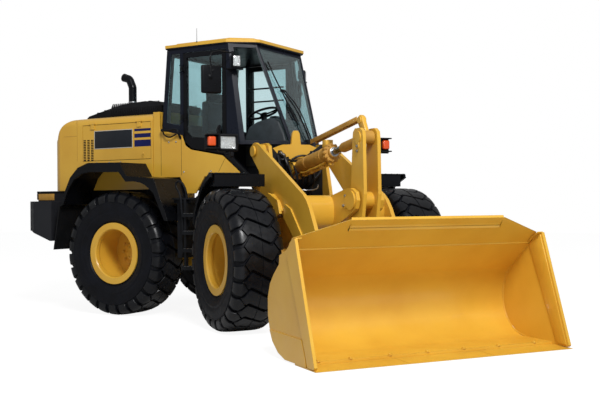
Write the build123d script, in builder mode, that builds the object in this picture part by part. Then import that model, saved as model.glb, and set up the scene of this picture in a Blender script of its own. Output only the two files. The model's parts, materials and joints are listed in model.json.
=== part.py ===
from build123d import *
import os
from math import asin, atan2, cos, degrees, hypot, radians, sin

# Articulated wheel loader, millimetres, +Z up, +X forward along the rear frame, +Y to the
# left. Everything is drawn about the articulation pin at ground level. The front frame's
# pieces are drawn straight ahead and turned about the pin at the end, and then the whole
# machine is moved so that its origin is the middle of its footprint.

# ---------------------------------------------------------------- driving dimensions
articulation = 34.3          # front frame turned to the right of the rear frame, degrees
wheelbase = 2840.0
track = 1930.0
tyre_radius = 738.0
tyre_width = 524.0
rim_seat_radius = 318.0
rim_flange_radius = 365.0
rim_width = 450.0
running_gap = 0.3            # curved faces of pieces that turn on each other
side_gap = 6.0               # flat faces of pieces that move past each other
panel_gap = 6.0              # shut line round a door
plate = 40.0                 # main frame and boom plate
sheet = 12.0                 # fenders and light covers
panel = 30.0                 # hood and cab panels
glass = 6.0
door_pin_radius = 8.0
knuckle_radius = 14.0
knuckle_length = 60.0
knuckle_gap = 6.0

axle_x = wheelbase / 2
axle_z = tyre_radius
wheel_y = track / 2
hub_face = wheel_y - rim_width / 2

# articulation joint
hinge_pin_radius = 50.0
hinge_boss_radius = 120.0
rear_ears = [(560.0, 600.0), (1080.0, 1120.0)]           # low z, high z
front_ears = [(510.0, 550.0), (610.0, 650.0), (1030.0, 1070.0), (1130.0, 1170.0)]

# rear frame
rail_in = 380.0
rail_out = 420.0
rail_top = 1150.0
rail_front = -350.0
rail_rear = -axle_x - 1180
rail_low = 560.0
carrier_low = 600.0
trunnion_radius = 100.0
carriers = (-axle_x - 340, -axle_x + 300)                # x of each carrier's rear face

# front frame
cheek_in = 325.0
cheek_out = 365.0
bulkhead_x = 194.0
boom_pivot = (760.0, 1905.0)                             # x, z
tilt_base = (940.0, 1720.0)
lift_base = (400.0, 1150.0)

# boom, crank, link and bucket pins, x and z with the bucket flat on the ground
bucket_pin = (2800.0, 290.0)
crank_pivot = (2450.0, 1341.0)
crank_top = (2502.0, 1957.0)
crank_foot = (2245.0, 620.0)
link_pivot = (2870.0, 600.0)
lift_pin = (1380.0, 1211.0)
arm_in = 435.0
arm_out = 475.0
crank_in = 62.0
crank_out = 98.0
bracket_in = 112.0
bracket_out = 152.0
pin_radius = 38.0
pin_head_radius = 106.0
crank_head_radius = 95.0
link_head_radius = 95.0
small_pin_radius = 32.0

# bucket
bucket_half = 1275.0
bucket_tip = 3950.0
edge_heel = 3702.0
side_thickness = 18.0
wear_thickness = 10.0        # strips on the outside of the side plates
bucket_corner = (3573.0, 1042.0)                         # side plate's upper front corner
bucket_rear_top = (3400.0, 925.0)

# cylinders
tilt_barrel_radius = 75.0
tilt_rod_radius = 34.0
lift_barrel_radius = 66.0
lift_rod_radius = 33.0
lift_y = 455.0
steer_barrel_radius = 42.0
steer_rod_radius = 22.0
steer_z = 850.0
steer_base = (-700.0, 300.0)                             # x, y on the rear frame
steer_eye = (110.0, 290.0)                               # x, y on the front frame

# body work
hood_front = -1168.0
hood_half = 755.0
hood_low = 1500.0
hood_front_top = 2465.0
hood_rear_top = 2425.0
hood_tail = rail_rear - 320
engine_door = (rail_rear + 280, -1195.0, 1870.0, 2330.0)         # x low, x high, z low, z high
grille_half = 500.0
grille_low = 1560.0
grille_high = 2080.0
cab_half = 725.0
cab_rear = -955.0            # at the roof; the rear wall leans back below it
cab_rear_lean = 105.0
cab_low = 2000.0
cab_high = 3190.0
cab_kink_top = -65.0
screen_top = (182.0, 503.0)                              # x, y of the windscreen's top corner
screen_low = (557.0, 316.0)
cab_floor_z = 1560.0
door_rear = -720.0
door_front = -90.0
door_low = 1888.0
door_high = 3120.0
panel_half = 747.0
panel_in = 727.0
panel_low = 1640.0
fender_out = 1235.0
fender_in = 755.0
front_fender_out = 1190.0
front_fender_in = 750.0


# ---------------------------------------------------------------- drawing helpers
def side_plate(outline, y_out, thickness, mode=Mode.ADD):
    # a plate parallel to the XZ plane, from y_out inwards; outline is a list of x, z
    with BuildSketch(Plane.XZ.offset(-y_out)) as face:
        with BuildLine():
            Polyline(*outline, close=True)
        make_face()
    extrude(face.sketch, amount=thickness, mode=mode)


def level_plate(outline, z_low, z_high, mode=Mode.ADD):
    # a plate parallel to the ground; outline is a list of x, y
    with BuildSketch(Plane.XY.offset(z_low)) as face:
        with BuildLine():
            Polyline(*outline, close=True)
        make_face()
    extrude(face.sketch, amount=z_high - z_low, mode=mode)


def cross_plate(outline, x_rear, x_front, mode=Mode.ADD):
    # a plate across the machine; outline is a list of y, z
    with BuildSketch(Plane.YZ.offset(x_rear)) as face:
        with BuildLine():
            Polyline(*outline, close=True)
        make_face()
    extrude(face.sketch, amount=x_front - x_rear, mode=mode)


def block(x_low, x_high, y_low, y_high, z_low, z_high, mode=Mode.ADD):
    with Locations(((x_low + x_high) / 2, (y_low + y_high) / 2, (z_low + z_high) / 2)):
        Box(x_high - x_low, y_high - y_low, z_high - z_low, mode=mode)


def cross_pin(place, y_low, y_high, radius, mode=Mode.ADD):
    # a round bar along Y at x, z
    with BuildSketch(Plane.XZ.offset(-y_high)) as face:
        with Locations(place):
            Circle(radius)
    extrude(face.sketch, amount=y_high - y_low, mode=mode)


def upright_pin(place, z_low, z_high, radius, mode=Mode.ADD):
    # a round bar along Z at x, y
    with BuildSketch(Plane.XY.offset(z_low)) as face:
        with Locations(place):
            Circle(radius)
    extrude(face.sketch, amount=z_high - z_low, mode=mode)


def bar(start, end, radius, mode=Mode.ADD):
    # a round bar between two points
    run = Vector(*end) - Vector(*start)
    with BuildSketch(Plane(origin=start, z_dir=run)) as face:
        Circle(radius)
    extrude(face.sketch, amount=run.length, mode=mode)


def tube(points, radius, bend):
    # a bent round bar through the points
    with BuildLine() as path:
        FilletPolyline(*points, radius=bend)
    with BuildSketch(Plane(origin=path.line @ 0, z_dir=path.line % 0)) as face:
        Circle(radius)
    sweep(face.sketch, path=path.line)


def toward(start, end, distance):
    # the point that lies distance from start on the way to end
    run = hypot(end[0] - start[0], end[1] - start[1])
    share = distance / run
    return (start[0] + (end[0] - start[0]) * share, start[1] + (end[1] - start[1]) * share)


def both(y_low, y_high):
    # the same span of y on the left and on the right
    return [(y_low, y_high), (-y_high, -y_low)]


def about_axle(x, side):
    # a sketch plane through a wheel's axle: local x outwards, local y upwards
    return Plane(origin=(x, side * wheel_y, axle_z), x_dir=(0, side, 0), z_dir=(side, 0, 0))


def upright_knuckle(place, low, mode=Mode.ADD):
    upright_pin(place, low, low + knuckle_length, knuckle_radius, mode=mode)


def upright_pin_and_ears(place, low, y_face, side):
    # a pin between two ears that stand on the face at y_face
    x, y = place
    high = low + knuckle_length
    upright_pin(place, low - 20, high + 20, door_pin_radius)
    for z_low, z_high in ((low - 20, low - knuckle_gap), (high + knuckle_gap, high + 20)):
        y_out = y + side * door_pin_radius
        block(x - 30, x + 8, min(y_face, y_out), max(y_face, y_out), z_low, z_high)


# ---------------------------------------------------------------- wheels
def make_tyre(x, side):
    crown = tyre_radius
    half = tyre_width / 2
    bead = rim_seat_radius + running_gap
    bead_face = rim_width / 2 - 20 - running_gap
    with BuildPart() as tyre:
        with BuildSketch(about_axle(x, side)):
            with BuildLine():
                Polyline((-bead_face, bead), (-bead_face, bead + 60), (-half, 470), (-half, 560),
                         (-half + 22, crown - 60), (-half + 55, crown), (half - 55, crown),
                         (half - 22, crown - 60), (half, 560), (half, 470),
                         (bead_face, bead + 60), (bead_face, bead), (bead_face - 30, bead),
                         (bead_face - 30, bead + 50), (half - 45, 480), (half - 45, 570),
                         (half - 90, crown - 75), (-half + 90, crown - 75),
                         (-half + 45, 570), (-half + 45, 480), (-bead_face + 30, bead + 50),
                         (-bead_face + 30, bead), close=True)
            make_face()
        revolve(axis=Axis((x, side * wheel_y, axle_z), (0, 1, 0)))
    return tyre


hub_radius = 150.0
hub_bore = 60.0
disc_depth = 30.0            # from the rim's inner edge to the disc


def make_rim(x, side):
    half = rim_width / 2
    seat = rim_seat_radius
    flange = rim_flange_radius
    disc = -half + disc_depth
    with BuildPart() as rim:
        with BuildSketch(about_axle(x, side)):
            with BuildLine():
                Polyline((-half, flange), (-half + 20, flange), (-half + 20, seat),
                         (half - 20, seat), (half - 20, flange), (half, flange),
                         (half, 292), (half - 14, 282), (half - 60, 282), (half - 95, 300),
                         (disc + 20, 300), (disc + 20, hub_radius), (disc + 60, hub_radius - 30),
                         (disc + 60, 0), (disc - 10, 0), (disc - 10, hub_bore + running_gap),
                         (-half + 6, hub_bore + running_gap), (-half + 6, hub_radius),
                         (disc, hub_radius), (disc, 300), (-half, 300), close=True)
            make_face()
        revolve(axis=Axis((x, side * wheel_y, axle_z), (0, 1, 0)))
    return rim


def make_axle(x, housing_half, differential):
    # beam, brake housings and the stub shafts that carry the hubs
    hub_inner = hub_face + disc_depth - 10
    with BuildPart() as axle:
        with BuildSketch(Plane(origin=(x, 0, axle_z), x_dir=(0, 1, 0), z_dir=(1, 0, 0))):
            with BuildLine():
                Polyline((0, 0), (0, differential), (90, differential), (200, 110),
                         (470, 95), (500, 165), (hub_face - side_gap, 165),
                         (hub_face - side_gap, hub_bore), (hub_inner - 2, hub_bore),
                         (hub_inner - 2, 0), close=True)
            make_face()
        revolve(axis=Axis((x, 0, axle_z), (0, 1, 0)))
        mirror(about=Plane.XZ)
        if housing_half > 0:
            bar((x - housing_half, 0, axle_z), (x + housing_half, 0, axle_z), trunnion_radius)
            # drive shaft with the ball of its middle joint
            bar((x + housing_half - 10, 0, shaft_z), (0, 0, shaft_z), 38)
            with Locations((0, 0, shaft_z)):
                Sphere(shaft_ball)
        else:
            for y_low, y_high in both(cheek_in - 15, cheek_out + 15):
                block(x - 130, x + 130, y_low, y_high, axle_z + 60, axle_pad_z)
            block(x - 150, x - 60, -120, 120, axle_z - 60, axle_z + 90)
            # drive shaft with the cup that turns on the rear shaft's ball
            bar((100, 0, shaft_z), (x - 140, 0, shaft_z), 38)
            bar((14, 0, shaft_z), (110, 0, shaft_z), shaft_ball + 12)
            bar((13, 0, shaft_z), (shaft_ball + 2, 0, shaft_z), shaft_ball + running_gap,
                mode=Mode.SUBTRACT)
    return axle


axle_pad_z = axle_z + 160
shaft_z = axle_z + 62
shaft_ball = 62.0
tyres = {}
rims = {}
for end, x in (("front", axle_x), ("rear", -axle_x)):
    for hand, side in (("left", 1), ("right", -1)):
        tyres[f"{end}_{hand}_tyre"] = make_tyre(x, side)
        rims[f"{end}_{hand}_rim"] = make_rim(x, side)

rear_axle = make_axle(-axle_x, 345.0, 205.0)
front_axle = make_axle(axle_x, 0.0, 190.0)

# ---------------------------------------------------------------- rear frame
arch = 150.0                 # clear height over the axle beam under the rails
with BuildPart() as rear_frame:
    rail = [(rail_rear, 760), (carriers[0], 760), (-axle_x - 220, axle_z + arch),
            (-axle_x + 220, axle_z + arch), (carriers[1] + plate, rail_low),
            (rail_front, rail_low), (rail_front, rail_top), (rail_rear, rail_top)]
    side_plate(rail, rail_out, rail_out - rail_in)
    mirror(about=Plane.XZ)
    for x in carriers:
        block(x, x + plate, -rail_in, rail_in, carrier_low, rail_top)
        bar((x - 1, 0, axle_z), (x + plate + 1, 0, axle_z), trunnion_radius + running_gap,
            mode=Mode.SUBTRACT)
    block(-800, -760, -rail_in, rail_in, rail_low, rear_ears[1][0])
    block(rail_rear, rail_rear + plate, -rail_in, rail_in, 760, rail_top)
    for z_low, z_high in rear_ears:
        level_plate([(-800, -rail_in), (rail_front, -rail_in), (-30, -hinge_boss_radius + 5),
                     (-30, hinge_boss_radius - 5), (rail_front, rail_in), (-800, rail_in)],
                    z_low, z_high)
        upright_pin((0, 0), z_low, z_high, hinge_boss_radius)
        upright_pin((0, 0), z_low, z_high, hinge_pin_radius + running_gap, mode=Mode.SUBTRACT)
    # opening for the drive shaft
    bar((-801, 0, shaft_z), (-759, 0, shaft_z), 80, mode=Mode.SUBTRACT)
    # ears that hold the steering cylinders
    for side in (1, -1):
        for z_low, z_high in ((steer_z - 75, steer_z - 35), (steer_z + 35, steer_z + 75)):
            block(-760, steer_base[0], side * steer_base[1] - 45, side * steer_base[1] + 45,
                  z_low, z_high)
            upright_pin((steer_base[0], side * steer_base[1]), z_low, z_high, 45)
        upright_pin((steer_base[0], side * steer_base[1]), steer_z - 85, steer_z + 85, 25)
    # posts under the cab
    for x in (-900, -430):
        for y_low, y_high in both(rail_in, rail_out):
            block(x, x + 80, y_low, y_high, rail_top, cab_floor_z)

with BuildPart() as articulation_pins:
    for low, high in ((500, 660), (1020, 1180)):
        upright_pin((0, 0), low, high, hinge_pin_radius)
        upright_pin((0, 0), high - 10 + running_gap, high + 8, hinge_pin_radius + 25)

tow_x = rail_rear - 450
tow_low = 890.0
tow_bore = 21.0
with BuildPart() as counterweight:
    # plan outline of the left half, measured back from the end of the rails
    half_plan = [(0, 600), (120, 700), (120, 1150), (-190, 1150), (-310, 1090), (-410, 900),
                 (-470, 500), (-485, 0)]
    outline = [(rail_rear + dx, y) for dx, y in half_plan]
    outline += [(rail_rear + dx, -y) for dx, y in half_plan[-2::-1]]
    level_plate(outline, 869, 1366)
    side_plate([(rail_rear + 96, 868), (rail_rear - 256, 990), (rail_rear - 510, 1010),
                (rail_rear - 510, 800), (rail_rear + 96, 800)], 1200, 2400, mode=Mode.SUBTRACT)
    level_plate([(rail_rear, -690), (rail_rear - 120, -700), (hood_tail - 10, -560),
                 (hood_tail - 10, 560), (rail_rear - 120, 700), (rail_rear, 690)],
                1366, hood_low)
    # raised step at each rear corner
    for side in (1, -1):
        level_plate([(rail_rear + 40, side * 765), (rail_rear + 40, side * 1010),
                     (rail_rear - 250, side * 1010), (rail_rear - 360, side * 880),
                     (rail_rear - 390, side * 765)], 1366, 1484)
    # towing jaw with its pin hole
    block(tow_x - 60, tow_x + 90, -70, 70, tow_low, 1366)
    block(tow_x - 61, tow_x + 80, -80, 80, tow_low + 60, tow_low + 160, mode=Mode.SUBTRACT)
    upright_pin((tow_x, 0), tow_low - 10, 1400, tow_bore, mode=Mode.SUBTRACT)

with BuildPart() as engine_block:
    block(rail_rear + 120, -1560, -rail_out, rail_out, rail_top, 1900)

# ---------------------------------------------------------------- hood
def hood_form(inset):
    # three crossing outlines: plan, side and end view
    half = hood_half - inset
    tail = hood_tail + inset
    turn = hood_tail + 200
    with BuildPart() as form:
        with BuildSketch(Plane.XY.offset(hood_low - 50)):
            with BuildLine():
                Polyline((hood_front + 50, half), (turn, half))
                ThreePointArc((turn, half), (tail + 75, half - 75), (tail + 18, grille_half + 60))
                Polyline((tail + 18, grille_half + 60), (tail, grille_half), (tail, -grille_half),
                         (tail + 18, -grille_half - 60))
                ThreePointArc((tail + 18, -grille_half - 60), (tail + 75, -half + 75),
                              (turn, -half))
                Polyline((turn, -half), (hood_front + 50, -half), (hood_front + 50, half))
            make_face()
        extrude(amount=1100)
        knee = (hood_tail + 140 + inset, 2170)
        brow = (hood_tail + 490, hood_rear_top - inset)
        with BuildSketch(Plane.XZ.offset(-half - 50)):
            with BuildLine():
                Polyline((hood_front, hood_low), (hood_front, hood_front_top - inset), brow)
                ThreePointArc(brow, (hood_tail + 265 + inset, 2350 - inset), knee)
                Polyline(knee, (tail - 20, 2090), (tail - 20, hood_low), (hood_front, hood_low))
            make_face()
        extrude(amount=2 * half + 100, mode=Mode.INTERSECT)
        crown = 2480 - inset
        with BuildSketch(Plane.YZ.offset(hood_tail - 100)):
            with BuildLine():
                Polyline((-half, 2320), (-half, hood_low - 50), (half, hood_low - 50),
                         (half, 2320))
                ThreePointArc((half, 2320), (half - 22, 2385), (half - 85, 2418))
                ThreePointArc((half - 85, 2418), (0, crown), (-half + 85, 2418))
                ThreePointArc((-half + 85, 2418), (-half + 22, 2385), (-half, 2320))
            make_face()
        extrude(amount=hood_front - hood_tail + 300, mode=Mode.INTERSECT)
    return form.part


hood_outer = hood_form(0)
hood_inner = hood_form(panel)
engine_hinge = (hood_half + 10, engine_door[3] + 8)      # y, z
grille_hinge = (hood_tail - 16, grille_half + 6)         # x, y
with BuildPart() as hood:
    add(hood_outer)
    add(hood_inner, mode=Mode.SUBTRACT)
    x_low, x_high, z_low, z_high = engine_door
    block(x_low, x_high, -900, -500, z_low, z_high, mode=Mode.SUBTRACT)
    block(x_low, x_high, 500, 900, z_low, z_high, mode=Mode.SUBTRACT)
    block(hood_tail - 50, hood_tail + 200, -grille_half, grille_half, grille_low, grille_high,
          mode=Mode.SUBTRACT)
    # hinge pins of the engine doors and of the grille, on small ears
    for x in (x_low + 150, x_high - 150 - knuckle_length):
        for x_ear in (x - 20, x + knuckle_length + knuckle_gap):
            for y_low, y_high in both(hood_half - 10, engine_hinge[0] + 8):
                block(x_ear, x_ear + 14, y_low, y_high, z_high + 2, engine_hinge[1] + 8)
        for side in (1, -1):
            bar((x - 20, side * engine_hinge[0], engine_hinge[1]),
                (x + knuckle_length + 20, side * engine_hinge[0], engine_hinge[1]), 5)
    for z in (grille_low + 90, grille_high - 90 - knuckle_length):
        upright_pin(grille_hinge, z - 20, z + knuckle_length + 20, door_pin_radius)
        for z_ear in (z - 20, z + knuckle_length + knuckle_gap):
            block(grille_hinge[0] - 8, hood_tail + 30, grille_hinge[1] - 2,
                  grille_hinge[1] + 14, z_ear, z_ear + 14)

engine_doors = {}
for hand, side in (("left", 1), ("right", -1)):
    with BuildPart() as engine_door_part:
        block(x_low + panel_gap, x_high - panel_gap, min(side * 500, side * 900),
              max(side * 500, side * 900), z_low + panel_gap, z_high - panel_gap)
        add(hood_outer, mode=Mode.INTERSECT)
        add(hood_inner, mode=Mode.SUBTRACT)
        for x in (x_low + 150, x_high - 150 - knuckle_length):
            bar((x, side * engine_hinge[0], engine_hinge[1]),
                (x + knuckle_length, side * engine_hinge[0], engine_hinge[1]), 9)
            y_face = sorted((side * hood_half, side * (hood_half + 14)))
            block(x, x + knuckle_length, *y_face, z_high - 60, z_high + 4)
            bar((x - 1, side * engine_hinge[0], engine_hinge[1]),
                (x + knuckle_length + 1, side * engine_hinge[0], engine_hinge[1]),
                5 + running_gap, mode=Mode.SUBTRACT)
    engine_doors[f"engine_door_{hand}"] = engine_door_part

with BuildPart() as rear_grille:
    block(hood_tail, hood_tail + panel, -grille_half + panel_gap, grille_half - panel_gap,
          grille_low + panel_gap, grille_high - panel_gap)
    for z in (grille_low + 90, grille_high - 90 - knuckle_length):
        upright_knuckle(grille_hinge, z)
        block(hood_tail - 14, hood_tail, grille_half - 50, grille_hinge[1], z,
              z + knuckle_length)
        upright_pin(grille_hinge, z - 1, z + knuckle_length + 1,
                    door_pin_radius + running_gap, mode=Mode.SUBTRACT)

with BuildPart() as hood_cover:
    side_plate([(hood_tail + 360, 2380), (hood_tail + 375, 2460), (hood_tail + 412, 2484),
                (hood_tail + 850, 2580), (-1956, 2612), (-1595, 2634), (-1320, 2597),
                (-1287, 2560), (-1275, 2380)], 430, 860)
    # sloping shoulders along both sides
    for side in (1, -1):
        cross_plate([(side * 440, 2540), (side * 440, 2700), (side * 380, 2700),
                     (side * 380, 2640)], hood_tail + 300, -1200, mode=Mode.SUBTRACT)
    add(hood_outer, mode=Mode.SUBTRACT)

exhaust_foot = (-1960.0, -200.0)
with BuildPart() as exhaust_stack:
    tube([(*exhaust_foot, 2590), (*exhaust_foot, 2850), (-2010, -200, 2960), (-2105, -200, 2990)],
         52, 60)
    add(hood_cover.part, mode=Mode.SUBTRACT)

# ---------------------------------------------------------------- cab
# The cab narrows to the windscreen through two angled side panes. Every facet is flat:
# the lower kink lies where the angled pane's lower edge is parallel to its upper one.
kink_slope = (screen_top[0] - cab_kink_top) / (cab_half - screen_top[1])
cab_kink_low = screen_low[0] - kink_slope * (cab_half - screen_low[1])


def rear_x(z):
    # the leaning rear wall's outer face at height z
    return cab_rear - cab_rear_lean * (cab_high - z) / (cab_high - cab_low)


def cab_section(inset, z):
    # plan outline of the cab at height z
    share = (cab_high - z) / (cab_high - cab_low)
    kink_x = cab_kink_top + (cab_kink_low - cab_kink_top) * share
    corner_x = screen_top[0] + (screen_low[0] - screen_top[0]) * share
    corner_y = screen_top[1] + (screen_low[1] - screen_top[1]) * share
    half = cab_half - inset
    lean = atan2(kink_slope, 1)
    kink_x = kink_x - inset * (1 - sin(lean)) / cos(lean) * 0.4
    rear = rear_x(z) + inset
    return [(rear, half), (kink_x, half), (corner_x - inset, corner_y - inset * 0.5),
            (corner_x - inset, -corner_y + inset * 0.5), (kink_x, -half), (rear, -half)]


def cab_form(inset, z_low, z_high):
    with BuildPart() as form:
        for z in (z_low, z_high):
            with BuildSketch(Plane.XY.offset(z)):
                with BuildLine():
                    Polyline(*cab_section(inset, z), close=True)
                make_face()
        loft(ruled=True)
    return form.part


cab_wall = 50.0
cab_outer = cab_form(0, cab_low, cab_high)
floor_sheet = 14.0
cab_inner = cab_form(cab_wall, cab_low + floor_sheet, cab_high - 60)
glass_outer = cab_form(6, cab_low, cab_high)
glass_inner = cab_form(6 + glass, cab_low - 1, cab_high + 1)


def pane_face(corners, depth):
    # a cutter through the wall behind a flat pane with the given corners
    points = [Vector(*corner) for corner in corners]
    face = Face(Wire.make_polygon(points))
    normal = face.normal_at()
    start = face.moved(Location(normal * -depth))
    return extrude(start, amount=2 * depth, dir=(normal.X, normal.Y, normal.Z), mode=Mode.PRIVATE)


def between(start, end, share):
    return tuple(a + (b - a) * share for a, b in zip(start, end))


def front_panes(z_low, z_high, margin):
    # corners of the windscreen and of the left angled pane, margin in from each edge
    panes = []
    kink_l, corner_l = cab_section(0, z_low)[1:3]
    kink_h, corner_h = cab_section(0, z_high)[1:3]
    width_low = hypot(corner_l[0] - kink_l[0], corner_l[1] - kink_l[1])
    width_high = hypot(corner_h[0] - kink_h[0], corner_h[1] - kink_h[1])
    low_a = between((*kink_l, z_low), (*corner_l, z_low), margin / width_low)
    low_b = between((*kink_l, z_low), (*corner_l, z_low), 1 - 25 / width_low)
    high_a = between((*kink_h, z_high), (*corner_h, z_high), margin / width_high)
    high_b = between((*kink_h, z_high), (*corner_h, z_high), 1 - 25 / width_high)
    panes.append([low_a, low_b, high_b, high_a])
    panes.append([(corner_l[0], corner_l[1] - 25, z_low), (corner_l[0], -corner_l[1] + 25, z_low),
                  (corner_h[0], -corner_h[1] + 25, z_high), (corner_h[0], corner_h[1] - 25, z_high)])
    return panes


angled_corners, screen_corners = front_panes(cab_low + 45, cab_high - 60, 60)
angled_cut = pane_face(angled_corners, 80)
angled_cut_right = mirror(angled_cut, about=Plane.XZ, mode=Mode.PRIVATE)
screen_cut = pane_face(screen_corners, 80)
pane_low = 2300.0
pane_high = cab_high - 90
rear_side_outline = [(rear_x(pane_low) + 60, pane_low), (door_rear - 45, pane_low - 40),
                     (door_rear - 45, pane_high + 20), (rear_x(pane_high) + 60, pane_high + 20)]
rear_pane_half = cab_half - 90
well_half = 270.0

cab_hinge = (door_rear - 6, cab_half + 16)               # x, y of the door's hinge line
cab_knuckles = (2320.0, 2900.0)
with BuildPart() as cab_frame:
    add(cab_outer)
    # lower walls down to the floor, behind the side panels
    block(cab_rear, -100, -690, 690, cab_floor_z + sheet, cab_low)
    add(cab_inner, mode=Mode.SUBTRACT)
    block(cab_rear + cab_wall, -100 - cab_wall, -640, 640, cab_floor_z, cab_low + floor_sheet,
          mode=Mode.SUBTRACT)
    # way through to the foot well
    block(-100 - cab_wall - 1, 390, -well_half, well_half, cab_floor_z, cab_low + floor_sheet,
          mode=Mode.SUBTRACT)
    # door openings
    for y_low, y_high in both(600, 800):
        block(door_rear, door_front, y_low, y_high, door_low, door_high, mode=Mode.SUBTRACT)
    add(angled_cut, mode=Mode.SUBTRACT)
    add(angled_cut_right, mode=Mode.SUBTRACT)
    add(screen_cut, mode=Mode.SUBTRACT)
    side_plate(rear_side_outline, 800, 1600, mode=Mode.SUBTRACT)
    block(rear_x(pane_low) - 10, cab_rear + cab_wall + 10, -rear_pane_half, rear_pane_half,
          pane_low, pane_high, mode=Mode.SUBTRACT)
    for side in (1, -1):
        for z in cab_knuckles:
            upright_pin_and_ears((cab_hinge[0], side * cab_hinge[1]), z, side * cab_half, side)

with BuildPart() as cab_glass:
    add(glass_outer)
    add(glass_inner, mode=Mode.SUBTRACT)
    add(Compound([angled_cut, angled_cut_right, screen_cut]), mode=Mode.INTERSECT)
    for y_high in (cab_half - 10, -cab_half + 10 + glass):
        side_plate(rear_side_outline, y_high, glass)
    rear_low = rear_x(pane_low) + 10
    rear_high = rear_x(pane_high) + 10
    side_plate([(rear_low, pane_low), (rear_low + glass, pane_low),
                (rear_high + glass, pane_high), (rear_high, pane_high)],
               rear_pane_half, 2 * rear_pane_half)

door_panel_low = [(door_rear + panel_gap, 2150), (door_rear + 40, 2050), (door_rear + 125, 1975),
                  (door_front - panel_gap, door_low + panel_gap)]
door_outline = door_panel_low + [(door_front - panel_gap, door_high - panel_gap),
                                 (door_rear + panel_gap, door_high - panel_gap)]
door_glass_outline = [(door_rear + 55, 2180), (door_rear + 130, 2105), (door_front - 60, 2090),
                      (door_front - 60, door_high - 65), (door_rear + 55, door_high - 65)]
door_frames = {}
door_glasses = {}
for hand, side in (("left", 1), ("right", -1)):
    y_out = cab_half if side > 0 else -cab_half + 45
    y_pane = cab_half - 10 if side > 0 else -cab_half + 10 + glass
    with BuildPart() as door_frame:
        side_plate(door_outline, y_out, 45)
        side_plate(door_glass_outline, y_out + 1, 47, mode=Mode.SUBTRACT)
        for z in cab_knuckles:
            hinge_line = (cab_hinge[0], side * cab_hinge[1])
            y_face = sorted((side * cab_half, side * (cab_half + 12)))
            y_clear = sorted((side * (cab_half + 2), side * (cab_half + 12)))
            upright_knuckle(hinge_line, z)
            block(cab_hinge[0], door_rear + 45, *y_clear, z, z + knuckle_length)
            block(door_rear + 7, door_rear + 45, *y_face, z, z + knuckle_length)
            upright_pin(hinge_line, z - 1, z + knuckle_length + 1,
                        door_pin_radius + running_gap, mode=Mode.SUBTRACT)
    with BuildPart() as door_glass:
        side_plate(door_glass_outline, y_pane, glass)
    door_frames[f"cab_door_{hand}"] = door_frame
    door_glasses[f"cab_door_{hand}_glass"] = door_glass

roof_low = cab_high
with BuildPart() as cab_roof:
    level_plate([(cab_rear - 7, 755), (-75, 745), (205, 535), (232, 500), (232, -500),
                 (205, -535), (-75, -745), (cab_rear - 7, -755)], roof_low, roof_low + 34)
    level_plate([(-900, 640), (-100, 640), (120, 440), (120, -440), (-100, -640), (-900, -640)],
                roof_low + 34, roof_low + 70)
    chamfer(edges().group_by(Axis.Z)[-1], 18)

with BuildPart() as cab_floor:
    block(cab_rear, -100, -690, 690, cab_floor_z, cab_floor_z + sheet)
    # foot well ahead of the floor, under the windscreen
    well = [(-100, cab_floor_z), (150, cab_floor_z), (380, 1790), (420, cab_low)]
    side_plate(well + [(390, cab_low), (352, 1806), (138, cab_floor_z + 30),
                       (-100, cab_floor_z + 30)], well_half, 2 * well_half)
    for y_low, y_high in both(well_half, well_half + panel):
        side_plate(well + [(-100, cab_low)], y_high, y_high - y_low)

with BuildPart() as seat:
    block(-640, -120, -260, 260, 1900, 2030)
    side_plate([(-640, 2030), (-560, 2030), (-640, 2700), (-760, 2700), (-740, 2030)], 230, 460)
    block(-520, -240, -180, 180, cab_floor_z + sheet, 1900)

wheel_centre = (-50.0, 0.0, 2420.0)
with BuildPart() as steering_column:
    bar((60, 0, 1650), wheel_centre, 45)
    column = Plane(origin=wheel_centre, z_dir=(-0.35, 0, 1))
    with BuildSketch(column):
        Circle(190)
        Circle(160, mode=Mode.SUBTRACT)
        Rectangle(330, 40)
    extrude(amount=28)
    block(-80, 120, -160, 160, cab_floor_z + 30, 1700)

def beside_face(z, along, out):
    # x, y beside the left angled pane: along it from the kink, and out from it
    kink, corner = cab_section(0, z)[1:3]
    run = hypot(corner[0] - kink[0], corner[1] - kink[1])
    step = ((corner[0] - kink[0]) / run, (corner[1] - kink[1]) / run)
    return (kink[0] + along * step[0] - out * step[1], kink[1] + along * step[1] + out * step[0])


lamp_z = 2880.0
lamp_box = (24.0, 108.0, 692.0, 782.0)                   # x low, x high, y low, y high
bracket_plan = [beside_face(lamp_z, 0, -10), (-30, lamp_box[3] + 8),
                (lamp_box[1] + 6, lamp_box[3] + 8), (lamp_box[1] + 6, lamp_box[2]),
                beside_face(lamp_z, 110, -10)]
with BuildPart() as mirrors:
    block(-72, -12, 985, 1225, 2560, 2886)
    level_plate(bracket_plan, lamp_z - 15, lamp_z)
    # bent arm from the cab's corner out to the mirror
    tube([(*beside_face(3050, 45, -20), 3056), (-30, 1040, 3000), (-42, 1060, 2870)], 12, 30)
    add(cab_outer, mode=Mode.SUBTRACT)
    mirror(about=Plane.XZ)

with BuildPart() as cab_fittings:
    # work lamps on the mirror brackets, and the aerial
    block(*lamp_box, lamp_z, lamp_z + 145)
    mirror(about=Plane.XZ)
    upright_pin((-543, -680), roof_low + 34, roof_low + 215, 5)
    upright_pin((-543, -680), roof_low + 34, roof_low + 60, 16)

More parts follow.
